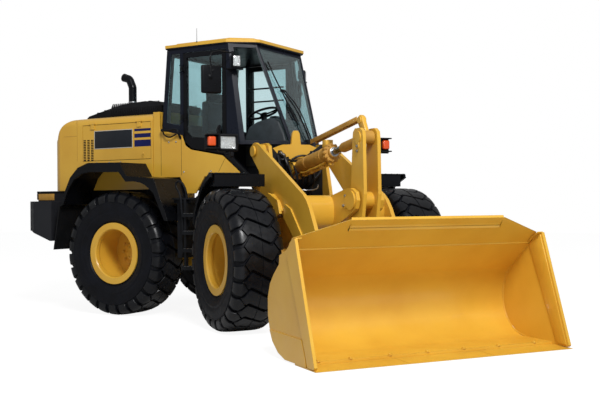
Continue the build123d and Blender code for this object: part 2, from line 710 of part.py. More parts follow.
# ---------------------------------------------------------------- panels below the cab
tank_rear = rear_x(cab_low) - 5
panel_outline = [(hood_front + panel_gap, panel_low), (-756, panel_low), (-653, 1443),
                 (-528, 1443), (-393, panel_low), (98, panel_low), (98, 1683), (-98, 1843),
                 (-147, 1880), (-597, 1962), (-680, 2010), (-735, 2140), (-930, 2185),
                 (tank_rear + 15, 2200), (tank_rear, 2260), (tank_rear, 2437),
                 (hood_front + panel_gap, 2437)]
with BuildPart() as side_panels:
    side_plate(panel_outline, panel_half, panel_half - panel_in)
    mirror(about=Plane.XZ)
    # tank cover between the hood and the cab
    block(hood_front + panel_gap, tank_rear, -panel_half, panel_half, 2407, 2437)
    block(tank_rear - 25, tank_rear, -panel_half, panel_half, 1700, 2437)
    # tie that carries the panels on the cab
    block(tank_rear - 1, cab_rear, -600, 600, 1900, 1960)

step_out = 1080.0
with BuildPart() as ladders:
    for y_low, y_high in both(700, step_out):
        block(-540, -470, y_low, y_high, 700, 1330)
        block(-590, -340, y_low, y_high, 1330, 1370)
    # brackets from the rails
    for y_low, y_high in both(rail_out, 701):
        block(-530, -480, y_low, y_high, 1060, 1140)
    for y_low, y_high in both(rail_out, step_out + 1):
        block(-400, -360, y_low, y_high, 1060, 1140)
    for y_low, y_high in both(step_out, step_out + 40):
        for x in (-415, -160):
            block(x, x + 30, y_low, y_high, 557, 1390)
    for y_low, y_high in both(step_out - 20, step_out + 80):
        for z in (570, 770, 970, 1170):
            block(-415, -130, y_low, y_high, z, z + 40)
    for y_low, y_high in both(step_out - 80, step_out + 40):
        block(-590, -130, y_low, y_high, 1370, 1390)

with BuildPart() as handrails:
    for side in (1, -1):
        tube([(-560, side * 1060, 1390.3), (-560, side * 1060, 1720), (-690, side * 900, 1830),
              (-760, side * (panel_half + 1), 1850)], 14, 50)
        tube([(-1135, side * (panel_half - 5), 2260), (-1135, side * 830, 2260),
              (-1090, side * 830, 2180), (-1090, side * (panel_half - 5), 2180)], 12, 20)
    add(side_panels.part, mode=Mode.SUBTRACT)

# ---------------------------------------------------------------- fenders
def band(points, thickness):
    # a strip of sheet along an open run of x, z points, on its lower side
    inner = []
    for index, point in enumerate(points):
        before = points[max(index - 1, 0)]
        after = points[min(index + 1, len(points) - 1)]
        first = atan2(point[1] - before[1], point[0] - before[0])
        second = atan2(after[1] - point[1], after[0] - point[0])
        if index == 0:
            first = second
        if index == len(points) - 1:
            second = first
        middle = (first + second) / 2
        reach = thickness / cos((second - first) / 2)
        inner.append((point[0] + reach * sin(middle), point[1] - reach * cos(middle)))
    return points + inner[::-1]


def over_axle(x, points):
    # points measured from the middle of a wheel, as x, z
    return [(x + dx, axle_z + dz) for dx, dz in points]


rear_fender_run = over_axle(-axle_x, [(-792, 590), (-741, 743), (-649, 915), (-524, 1029),
                                      (-359, 1085), (144, 1077), (244, 916), (658, 879),
                                      (861, 391)])
rear_lip_edge = over_axle(-axle_x, [(812, 391), (717, 581), (657, 706), (546, 794), (472, 829),
                                    (359, 850), (238, 848), (130, 964), (-333, 974),
                                    (-456, 957), (-580, 893), (-686, 763), (-765, 593)])
front_fender_run = over_axle(axle_x, [(-726, 365), (-692, 489), (-610, 600), (-496, 722),
                                      (-401, 805), (-292, 856), (-160, 907)])
flap_x, flap_top = rear_fender_run[0][0] - 80, rear_fender_run[0][1] - 28
with BuildPart() as rear_fenders:
    side_plate(band(rear_fender_run, sheet), fender_out, fender_out - fender_in)
    side_plate(rear_fender_run + rear_lip_edge, fender_out, 30)
    # flange that the mud flap hangs from
    end_x, end_z = rear_fender_run[0]
    side_plate([(flap_x, flap_top), (flap_x, flap_top + sheet), (end_x + 5, end_z + 10),
                (end_x + 13, end_z - 3), (flap_x + 13, flap_top)], fender_out - 35,
               fender_out - fender_in - 35)
    mirror(about=Plane.XZ)

with BuildPart() as front_fenders:
    side_plate(band(front_fender_run, sheet), front_fender_out, front_fender_out - front_fender_in)
    side_plate(band(front_fender_run, 50), front_fender_out, 25)
    # bracket from the fender in to its post on the front frame
    side_plate(over_axle(axle_x, [(-355, 762), (-165, 762), (-165, 894), (-292, 848),
                                  (-355, 818)]), front_fender_out - 60,
               front_fender_out - 60 - 560)
    mirror(about=Plane.XZ)

with BuildPart() as mud_flaps:
    side_plate([(flap_x, flap_top - running_gap), (flap_x + 12, flap_top - running_gap),
                (flap_x - 90, 765), (flap_x - 102, 765)], fender_out - 35,
               fender_out - fender_in - 35)
    mirror(about=Plane.XZ)

# ---------------------------------------------------------------- front frame
cheek = [(bulkhead_x, 600), (bulkhead_x, 1180), (300, 1260), (520, 1330), (630, 1700),
         (660, 1960), (700, 1995), (820, 1995), (900, 1960), (960, 1700), (1060, 1350),
         (1180, 1230), (axle_x + 140, 1100), (axle_x + 180, axle_pad_z),
         (axle_x + 130, axle_pad_z),
         (axle_x - 130, axle_pad_z), (1180, 620), (1100, 600)]
tower_x = 820.0
tower_top = 1985.0
lug_half = 60.0
with BuildPart() as front_frame:
    side_plate(cheek, cheek_out, cheek_out - cheek_in)
    mirror(about=Plane.XZ)
    block(bulkhead_x, bulkhead_x + plate, -cheek_in, cheek_in, 500, 1180)
    block(bulkhead_x + plate, 1100, -cheek_in, cheek_in, 600, 620)
    block(axle_x + 100, axle_x + 130, -cheek_in, cheek_in, axle_pad_z + 30, 1100)
    cross_plate([(-cheek_in, 1250), (cheek_in, 1250), (cheek_in, tower_top - 60),
                 (170, tower_top), (lug_half, tower_top), (lug_half - 15, 2110), (25, 2143),
                 (-25, 2143), (-lug_half + 15, 2110), (-lug_half, tower_top),
                 (-170, tower_top - 5), (-cheek_in, tower_top - 60)], tower_x, tower_x + 30)
    for y in (-200, 200):
        with BuildSketch(Plane.YZ.offset(tower_x)):
            with Locations((y, 1860)):
                SlotCenterToCenter(60, 50, rotation=90)
        extrude(amount=30, mode=Mode.SUBTRACT)
    # window behind the tilt cylinder's eye
    block(tower_x - 1, tower_x + 31, -60, 60, tilt_base[1] - 90, tilt_base[1] + 90,
          mode=Mode.SUBTRACT)
    # opening for the drive shaft and hinge ears
    bar((bulkhead_x - 1, 0, shaft_z), (bulkhead_x + plate + 1, 0, shaft_z), 80, mode=Mode.SUBTRACT)
    for z_low, z_high in front_ears:
        level_plate([(0, -hinge_boss_radius), (60, -hinge_boss_radius), (bulkhead_x, -170),
                     (bulkhead_x, 170), (60, hinge_boss_radius), (0, hinge_boss_radius)],
                    z_low, z_high)
        upright_pin((0, 0), z_low, z_high, hinge_boss_radius)
        upright_pin((0, 0), z_low, z_high, hinge_pin_radius + running_gap, mode=Mode.SUBTRACT)
    for side in (1, -1):
        # ears for the steering cylinders' rods
        for z_low, z_high in ((steer_z - 65, steer_z - 30), (steer_z + 30, steer_z + 65)):
            block(steer_eye[0], bulkhead_x, side * steer_eye[1] - 40, side * steer_eye[1] + 40,
                  z_low, z_high)
            upright_pin((steer_eye[0], side * steer_eye[1]), z_low, z_high, 40)
    for y_low, y_high in both(cheek_out, arm_in - side_gap):
        cross_pin(boom_pivot, y_low, y_high, 80)
    for y_low, y_high in both(cheek_out, arm_out + 22):
        cross_pin(boom_pivot, y_low, y_high, pin_radius)
    for y_low, y_high in both(arm_out + side_gap, arm_out + 30):
        cross_pin(boom_pivot, y_low, y_high, 62)
    # pins that carry the lift cylinders
    for y_low, y_high in both(cheek_out, lift_y + 78):
        cross_pin(lift_base, y_low, y_high, small_pin_radius)
    for y_low, y_high in both(cheek_out, lift_y - 52 - side_gap):
        cross_pin(lift_base, y_low, y_high, 48)
    for y_low, y_high in both(lift_y + 52 + side_gap, lift_y + 80):
        cross_pin(lift_base, y_low, y_high, 55)
    # clevis that carries the tilt cylinder
    for y_low, y_high in both(58, 92):
        side_plate([(tower_x + 30, 1600), (tower_x + 30, 1790), (tilt_base[0] + 20, 1775),
                    (tilt_base[0] + 55, tilt_base[1]), (tilt_base[0] + 20, 1665)],
                   y_high, y_high - y_low)
    cross_pin(tilt_base, -100, 100, small_pin_radius)
    # cross tube under the tower and the posts that carry the fender brackets
    post_x = axle_x - 340
    for y_low, y_high in both(560, 600):
        block(post_x, post_x + 40, y_low, y_high, 1040, axle_z + 762)
    for y_low, y_high in both(cheek_out - 10, 600):
        block(post_x - 20, post_x + 60, y_low, y_high, 1040, 1090)


def fender_top(x):
    # height of the front fender's top at x
    for low, high in zip(front_fender_run, front_fender_run[1:]):
        if low[0] <= x <= high[0]:
            return low[1] + (high[1] - low[1]) * (x - low[0]) / (high[0] - low[0])


lamp_x = axle_x - 460
with BuildPart() as headlamps:
    block(lamp_x, lamp_x + 80, 790, 1140, 1890, 2065)
    foot = (lamp_x + 25, lamp_x + 65)
    middle_foot = [place for place in front_fender_run if foot[0] < place[0] < foot[1]]
    side_plate([(foot[0], fender_top(foot[0]) + running_gap)]
               + [(x, z + running_gap) for x, z in middle_foot]
               + [(foot[1], fender_top(foot[1]) + running_gap), (foot[1], 1890),
                  (foot[0], 1890)], 860, 40)
    mirror(about=Plane.XZ)

# ---------------------------------------------------------------- boom
arm = [(861, 1979), (2030, 1405), (2110, 1345), (2180, 1260), (2330, 1010), (2872, 352),
       (2830, 200), (2735, 225), (2200, 630), (1738, 1033), (1590, 1155), (1400, 1300),
       (1210, 1423), (695, 1828), (700, 1900), (760, 1990)]
tube_outline = [(1760, 1180), (1790, 1090), (1870, 1050), (1990, 1055), (2060, 1120),
                (2085, 1230), (2060, 1340), (1980, 1390), (1850, 1385), (1780, 1320)]
bracket_outline = [(1990, 1385), (2330, 1455), (2450, 1461), (2545, 1420), (2570, 1341),
                   (2540, 1260), (2470, 1222), (2060, 1062), (1990, 1060)]
with BuildPart() as boom:
    side_plate(arm, arm_out, arm_out - arm_in)
    cross_pin(boom_pivot, arm_in, arm_out, 98)
    cross_pin(bucket_pin, arm_in - 0, arm_out, 95)
    cross_pin(boom_pivot, arm_in - 1, arm_out + 1, pin_radius + running_gap, mode=Mode.SUBTRACT)
    cross_pin(bucket_pin, arm_in - 1, arm_out + 1, pin_radius + running_gap, mode=Mode.SUBTRACT)
    # doubling plate on the lower half of the arm
    side_plate([(1580, 1170), (1720, 1060), (1960, 850), (2200, 640), (2420, 480), (2480, 560),
                (2250, 760), (2010, 1010), (1760, 1260), (1620, 1310)], arm_out + 16, 16)
    # clevis for the lift cylinder's rod
    for y_high, y_low in ((arm_out + 50, arm_out + 22), (arm_in - 22, arm_in - 50)):
        side_plate([(1250, 1430), (1290, 1320), (1322, 1296), (1326, 1200), (1350, 1150),
                    (1410, 1150), (1450, 1190), (1560, 1210), (1500, 1350)],
                   y_high, y_high - y_low)
    for y_low, y_high in ((arm_out, arm_out + 50), (arm_in - 50, arm_in)):
        side_plate([(1290, 1400), (1450, 1310), (1530, 1225), (1545, 1240), (1480, 1330),
                    (1310, 1420)], y_high, y_high - y_low)
    mirror(about=Plane.XZ)
    side_plate(tube_outline, arm_in, 2 * arm_in)
    for y_low, y_high in both(bracket_in, bracket_out):
        side_plate(bracket_outline, y_high, y_high - y_low)
    cross_pin(crank_pivot, -bracket_out - 1, bracket_out + 1, pin_radius + running_gap,
              mode=Mode.SUBTRACT)

with BuildPart() as bucket_pins:
    for y_low, y_high in both(arm_in - 44, arm_out + 44):
        cross_pin(bucket_pin, y_low, y_high, pin_radius)
    # flanged heads outside the ears
    for y_low, y_high in both(arm_out + 40 + running_gap, arm_out + 62):
        cross_pin(bucket_pin, y_low, y_high, pin_head_radius)
    for y_low, y_high in both(arm_in - 62, arm_in - 40 - running_gap):
        cross_pin(bucket_pin, y_low, y_high, pin_head_radius)

with BuildPart() as crank_pin:
    cross_pin(crank_pivot, -bracket_out - 8, bracket_out + 8, pin_radius)
    for y_low, y_high in both(bracket_out + running_gap, bracket_out + 18):
        cross_pin(crank_pivot, y_low, y_high, crank_head_radius)

crank_outline = [(2392, 1957), (2400, 2010), (2440, 2045), (2540, 2045), (2590, 2010),
                 (2600, 1950), (2612, 1400), (2570, 1180), (2440, 900), (2330, 620),
                 (2290, 570), (2210, 565), (2170, 640), (2220, 900), (2330, 1180), (2338, 1341)]
with BuildPart() as bell_crank:
    for y_low, y_high in both(crank_in, crank_out):
        side_plate(crank_outline, y_high, y_high - y_low)
    cross_pin(crank_pivot, -crank_in, crank_in, 85)
    cross_pin(crank_pivot, -crank_out - 1, crank_out + 1, pin_radius + running_gap,
              mode=Mode.SUBTRACT)
    # stiffener between the plates below the pivot, clear of the rod's and the link's eyes
    block(2360, 2390, -crank_in, crank_in, 1060, 1180)
    for place in (crank_top, crank_foot):
        for y_low, y_high in both(crank_out, crank_out + 10):
            cross_pin(place, y_low, y_high, 58)

with BuildPart() as link_pin:
    cross_pin(link_pivot, -104, 104, small_pin_radius)
    for y_low, y_high in both(96 + running_gap, 118):
        cross_pin(link_pivot, y_low, y_high, link_head_radius)

with BuildPart() as bucket_link:
    link_run = degrees(atan2(crank_foot[1] - link_pivot[1], crank_foot[0] - link_pivot[0]))
    middle = ((crank_foot[0] + link_pivot[0]) / 2, (crank_foot[1] + link_pivot[1]) / 2)
    link_length = hypot(crank_foot[0] - link_pivot[0], crank_foot[1] - link_pivot[1])
    with BuildSketch(Plane.XZ.offset(-48)):
        with Locations(middle):
            Rectangle(link_length, 100, rotation=link_run)
        with Locations(crank_foot, link_pivot):
            Circle(68)
    extrude(amount=96)
    cross_pin(link_pivot, -49, 49, small_pin_radius + running_gap, mode=Mode.SUBTRACT)

# ---------------------------------------------------------------- bucket
side_inner = bucket_half - wear_thickness - side_thickness
with BuildPart() as bucket:
    with BuildSketch(Plane.XZ.offset(-side_inner)):
        with BuildLine():
            Polyline((edge_heel, 14), (edge_heel, 36), (3330, 36))
            ThreePointArc((3330, 36), (3080, 150), (2985, 400))
            ThreePointArc((2985, 400), (3012, 545), (3090, 670))
            Polyline((3090, 670), bucket_rear_top, (3640, 1175), (3625, 1197), (3388, 948),
                     (3075, 689))
            ThreePointArc((3075, 689), (2990, 553), (2962, 400))
            ThreePointArc((2962, 400), (3064, 134), (3330, 14))
            Line((3330, 14), (edge_heel, 14))
        make_face()
    extrude(amount=2 * side_inner)
    # the spill guard slopes down to the side plates
    for side in (1, -1):
        with BuildSketch(Plane.YZ.offset(3370)) as slope:
            with BuildLine():
                Polyline((side * 773, 1200), (side * 773, 1180), (side * (bucket_half - 20), 1030),
                         (side * (bucket_half + 10), 1030), (side * (bucket_half + 10), 1200),
                         close=True)
            make_face()
        extrude(slope.sketch, amount=320, mode=Mode.SUBTRACT)
    # side plates
    side_outline = [(bucket_tip - 35, 14), (bucket_tip - 20, 30), bucket_corner, (3481, 996),
                    (3386, 930), (3242, 878), (3234, 803), (3114, 708), (3035, 623), (2985, 499),
                    (2985, 350), (3022, 234), (3100, 135), (3220, 54), (3360, 14)]
    for y_low, y_high in both(side_inner, side_inner + side_thickness):
        side_plate(side_outline, y_high, y_high - y_low)
    # wear strips along the front edge and the bottom of each side plate
    strip_y = both(side_inner + side_thickness, bucket_half)
    for y_low, y_high in strip_y:
        side_plate([(3804, 14), (bucket_tip - 35, 14), (bucket_tip - 20, 30), bucket_corner,
                    (3481, 996), (3414, 890), (3777, 75)], y_high, y_high - y_low)
        side_plate([(3040, 228), (3690, 221), (3765, 60), (3765, 14), (3360, 14), (3220, 54),
                    (3100, 135)], y_high, y_high - y_low)
    # ears for the boom pins and for the link
    ear = [(2700, 300), (2725, 225), (2800, 195), (2900, 180), (3060, 130), (3000, 400),
           (3020, 560), (2960, 560), (2860, 380), (2760, 380)]
    for y_low, y_high in ((arm_in - 40, arm_in - 10), (arm_out + 10, arm_out + 40)):
        for low, high in both(y_low, y_high):
            side_plate(ear, high, high - low)
    centre_ear = [(2985, 430), (2870, 520), (2800, 570), (2795, 640), (2840, 680), (2900, 690),
                  (3100, 720), (3020, 560)]
    for y_low, y_high in both(crank_in, 96):
        side_plate(centre_ear, y_high, y_high - y_low)
    # the inside of the bucket is kept clear
    with BuildSketch(Plane.XZ.offset(-side_inner)):
        with BuildLine():
            Polyline((edge_heel + 20, 36), (3330, 36))
            ThreePointArc((3330, 36), (3080, 150), (2985, 400))
            ThreePointArc((2985, 400), (3012, 545), (3090, 670))
            Polyline((3090, 670), bucket_rear_top, (edge_heel + 20, 925), (edge_heel + 20, 36))
        make_face()
    extrude(amount=2 * side_inner, mode=Mode.SUBTRACT)
    cross_pin(bucket_pin, -600, 600, pin_radius + running_gap, mode=Mode.SUBTRACT)
    cross_pin(link_pivot, -120, 120, small_pin_radius + running_gap, mode=Mode.SUBTRACT)

edge_parts = 3
edge_length = (2 * bucket_half) / edge_parts
edge_gap = 4.0
with BuildPart() as cutting_edge:
    for index in range(edge_parts):
        y_low = -bucket_half + index * edge_length + edge_gap / 2
        side_plate([(3560, 0), (3560, 14), (edge_heel + 60, 14), (bucket_tip, 4),
                    (bucket_tip, 0)], y_low + edge_length - edge_gap, edge_length - edge_gap)

# ---------------------------------------------------------------- cylinders
def make_barrel(start, end, length, radius, rod_radius, bore_from, eye_radius, eye_half, centres):
    # barrel with its base eye; centres lists where it stands across the machine
    along = toward(start, end, length)
    neck = toward(start, end, eye_radius - 14)
    shoulder = toward(start, end, eye_radius + 34)
    collar = toward(start, end, length - 60)
    deep = toward(start, end, bore_from)
    with BuildPart() as barrel:
        for y in centres:
            bar((neck[0], y, neck[1]), (shoulder[0], y, shoulder[1]), eye_half - 4)
            bar((shoulder[0], y, shoulder[1]), (along[0], y, along[1]), radius)
            bar((collar[0], y, collar[1]), (along[0], y, along[1]), radius + 14)
            cross_pin(start, y - eye_half, y + eye_half, eye_radius)
            cross_pin(start, y - radius, y + radius, small_pin_radius + running_gap,
                      mode=Mode.SUBTRACT)
            bar((deep[0], y, deep[1]), (along[0], y, along[1]), rod_radius + running_gap,
                mode=Mode.SUBTRACT)
    return barrel


def make_rod(start, end, inner_at, radius, eye_radius, eye_half, centres):
    # rod from inside the barrel to its eye at end
    inner = toward(start, end, inner_at)
    with BuildPart() as rod:
        for y in centres:
            bar((inner[0], y, inner[1]), (end[0], y, end[1]), radius)
            cross_pin(end, y - eye_half, y + eye_half, eye_radius)
    return rod


tilt_barrel_length = 930.0
tilt_barrel = make_barrel(tilt_base, crank_top, tilt_barrel_length, tilt_barrel_radius,
                          tilt_rod_radius, 320, 66, 52, (0,))
tilt_rod = make_rod(tilt_base, crank_top, 520, tilt_rod_radius, 62, 54, (0,))
lift_barrel_length = 905.0
lift_centres = (lift_y, -lift_y)
lift_barrels = make_barrel(lift_base, lift_pin, lift_barrel_length, lift_barrel_radius,
                           lift_rod_radius, 100, 60, 50, lift_centres)
lift_rods = make_rod(lift_base, lift_pin, 106, lift_rod_radius, 50, 34, lift_centres)


def turned(place):
    # a front frame x, y as it lies on the ground with the machine articulated
    angle = radians(-articulation)
    return (place[0] * cos(angle) - place[1] * sin(angle),
            place[0] * sin(angle) + place[1] * cos(angle))


steer_barrel_length = 520.0
steer_closed = 598.0         # eye to eye with the cylinder closed
steer_barrels = {}
steer_rods = {}
for hand, side in (("left", 1), ("right", -1)):
    base = (steer_base[0], side * steer_base[1])
    eye = turned((steer_eye[0], side * steer_eye[1]))
    travel = hypot(eye[0] - base[0], eye[1] - base[1]) - steer_closed
    mouth = toward(base, eye, steer_barrel_length)
    with BuildPart() as steer_barrel:
        bar((*toward(base, eye, 25), steer_z), (*toward(base, eye, 62), steer_z), 24)
        bar((*toward(base, eye, 52), steer_z), (*mouth, steer_z), steer_barrel_radius)
        upright_pin(base, steer_z - 28, steer_z + 28, 40)
        upright_pin(base, steer_z - 60, steer_z + 60, 25 + running_gap, mode=Mode.SUBTRACT)
        bar((*toward(base, eye, 64), steer_z), (*mouth, steer_z), steer_rod_radius + running_gap,
            mode=Mode.SUBTRACT)
    with BuildPart() as steer_rod:
        bar((*toward(base, eye, 75 + travel), steer_z), (*eye, steer_z), steer_rod_radius)
        upright_pin(eye, steer_z - 24, steer_z + 24, 38)
    steer_barrels[f"steer_barrel_{hand}"] = steer_barrel
    steer_rods[f"steer_rod_{hand}"] = steer_rod

# ---------------------------------------------------------------- export
os.makedirs("parts", exist_ok=True)
rear_pieces = {
    "rear_frame": rear_frame, "articulation_pins": articulation_pins,
    "rear_axle": rear_axle, "counterweight": counterweight, "engine_block": engine_block,
    "hood": hood, "rear_grille": rear_grille, "hood_cover": hood_cover,
    "exhaust_stack": exhaust_stack, "cab_frame": cab_frame, "cab_glass": cab_glass,
    "cab_roof": cab_roof, "cab_floor": cab_floor, "seat": seat,
    "steering_column": steering_column, "mirrors": mirrors, "cab_fittings": cab_fittings,
    "side_panels": side_panels, "ladders": ladders, "handrails": handrails,
    "rear_fenders": rear_fenders, "mud_flaps": mud_flaps,
    **engine_doors, **door_frames, **door_glasses, **steer_barrels, **steer_rods,
    "rear_left_tyre": tyres["rear_left_tyre"], "rear_right_tyre": tyres["rear_right_tyre"],
    "rear_left_rim": rims["rear_left_rim"], "rear_right_rim": rims["rear_right_rim"],
}
front_pieces = {
    "front_frame": front_frame, "front_axle": front_axle,
    "front_fenders": front_fenders, "headlamps": headlamps,
    "boom": boom, "bucket_pins": bucket_pins, "crank_pin": crank_pin,
    "bell_crank": bell_crank, "link_pin": link_pin, "bucket_link": bucket_link,
    "bucket": bucket, "cutting_edge": cutting_edge, "tilt_barrel": tilt_barrel,
    "tilt_rod": tilt_rod, "lift_barrels": lift_barrels, "lift_rods": lift_rods,
    "front_left_tyre": tyres["front_left_tyre"], "front_right_tyre": tyres["front_right_tyre"],
    "front_left_rim": rims["front_left_rim"], "front_right_rim": rims["front_right_rim"],
}
placed = {}
for name, piece in rear_pieces.items():
    placed[name] = piece.part
for name, piece in front_pieces.items():
    placed[name] = piece.part.rotate(Axis.Z, -articulation)
boxes = [piece.bounding_box() for piece in placed.values()]
middle_x = round((min(box.min.X for box in boxes) + max(box.max.X for box in boxes)) / 2)
middle_y = round((min(box.min.Y for box in boxes) + max(box.max.Y for box in boxes)) / 2)
for name, piece in placed.items():
    moved = piece.moved(Location((-middle_x, -middle_y, 0)))
    moved.label = name
    export_step(moved, f"parts/{name}.step")
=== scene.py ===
import json
import math

import bpy
from mathutils import Matrix, Vector


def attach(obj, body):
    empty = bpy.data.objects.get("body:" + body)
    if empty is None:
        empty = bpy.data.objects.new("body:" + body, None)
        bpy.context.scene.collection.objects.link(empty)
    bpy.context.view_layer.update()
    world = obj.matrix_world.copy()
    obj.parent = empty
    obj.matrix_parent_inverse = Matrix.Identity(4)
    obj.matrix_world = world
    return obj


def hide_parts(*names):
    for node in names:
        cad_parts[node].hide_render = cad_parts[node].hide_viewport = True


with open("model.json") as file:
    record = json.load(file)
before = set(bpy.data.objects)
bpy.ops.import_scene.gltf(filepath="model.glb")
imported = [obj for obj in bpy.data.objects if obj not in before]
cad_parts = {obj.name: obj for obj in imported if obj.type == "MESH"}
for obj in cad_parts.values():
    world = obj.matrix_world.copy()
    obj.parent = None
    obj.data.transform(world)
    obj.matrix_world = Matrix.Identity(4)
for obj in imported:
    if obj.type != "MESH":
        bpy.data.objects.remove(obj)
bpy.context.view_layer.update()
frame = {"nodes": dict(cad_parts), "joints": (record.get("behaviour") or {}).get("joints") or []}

mm = 0.001   # metres in a millimetre
layout = {"articulation": 34.3, "wheelbase": 2840, "track": 1930, "tyreRadius": 738}
wheelX = layout["wheelbase"] / 2
wheelY = layout["track"] / 2
pivot = next(j["pos_m"] for j in frame["joints"] if j["name"] == "steer")
# the machine is drawn straight; these put its two frames in the part's place and turn
rearPlace = Matrix.Translation((pivot[0], pivot[1], 0))
frontPlace = rearPlace @ Matrix.Rotation(math.radians(-layout["articulation"]), 4, "Z")
rearBodies = ["chassis", "rear_grille", "cab_door_left", "cab_door_right", "engine_door_left",
              "engine_door_right", "steer_barrel_left", "steer_barrel_right",
              "rear_left_wheel", "rear_right_wheel"]
sides = {"left": 1, "right": -1}


# materials
def linear(hexText):
    parts = [int(hexText[i:i + 2], 16) / 255 for i in (1, 3, 5)]
    return tuple(p / 12.92 if p <= 0.04045 else ((p + 0.055) / 1.055) ** 2.4 for p in parts) + (1,)


def addNode(tree, kind, settings=None, inputs=None):
    made = tree.nodes.new(kind)
    for key, value in (settings or {}).items():
        setattr(made, key, value)
    for key, value in (inputs or {}).items():
        if isinstance(value, bpy.types.NodeSocket):
            tree.links.new(value, made.inputs[key])
        else:
            made.inputs[key].default_value = value
    return made


def newMaterial(name):
    made = bpy.data.materials.new(name)
    made.use_nodes = True
    tree = made.node_tree
    tree.nodes.clear()
    shader = addNode(tree, "ShaderNodeBsdfPrincipled")
    addNode(tree, "ShaderNodeOutputMaterial", None, {"Surface": shader.outputs[0]})
    return made, tree, shader


def worked(name, look):
    # a finish with drifting colour, uneven gloss and a fine relief; sizes in mm
    made, tree, shader = newMaterial(name)
    place = addNode(tree, "ShaderNodeTexCoord").outputs["Object"]
    drift = addNode(tree, "ShaderNodeTexNoise", None,
                    {"Vector": place, "Scale": 1000 / look["patch"], "Detail": 4.0})
    blend = addNode(tree, "ShaderNodeMapRange", None,
                    {"Value": drift.outputs[0], "From Min": 0.35, "From Max": 0.68})
    mixed = addNode(tree, "ShaderNodeMix", {"data_type": "RGBA"},
                    {0: blend.outputs[0], 6: linear(look["base"]), 7: linear(look["shade"])})
    tree.links.new(mixed.outputs[2], shader.inputs["Base Color"])
    smear = addNode(tree, "ShaderNodeTexNoise", None,
                    {"Vector": place, "Scale": 1000 / look["smear"], "Detail": 3.0})
    gloss = addNode(tree, "ShaderNodeMapRange", None,
                    {"Value": smear.outputs[0], "From Min": 0.3, "From Max": 0.7,
                     "To Min": look["rough"][0], "To Max": look["rough"][1]})
    tree.links.new(gloss.outputs[0], shader.inputs["Roughness"])
    grain = addNode(tree, "ShaderNodeTexNoise", None,
                    {"Vector": place, "Scale": 1000 / look["grain"], "Detail": 2.0})
    relief = addNode(tree, "ShaderNodeBump", None,
                     {"Strength": look["strength"], "Distance": look["depth"] * mm,
                      "Height": grain.outputs[0]})
    if "edge" in look:
        rounding = addNode(tree, "ShaderNodeBevel", {"samples": 4}, {"Radius": look["edge"] * mm})
        tree.links.new(rounding.outputs[0], relief.inputs["Normal"])
    tree.links.new(relief.outputs[0], shader.inputs["Normal"])
    shader.inputs["Metallic"].default_value = look.get("metallic", 0)
    if "coat" in look:
        shader.inputs["Coat Weight"].default_value = look["coat"]
        shader.inputs["Coat Roughness"].default_value = 0.12
    if "specular" in look:
        shader.inputs["Specular IOR Level"].default_value = look["specular"]
    if "sheen" in look:
        shader.inputs["Sheen Weight"].default_value = look["sheen"]
    return made


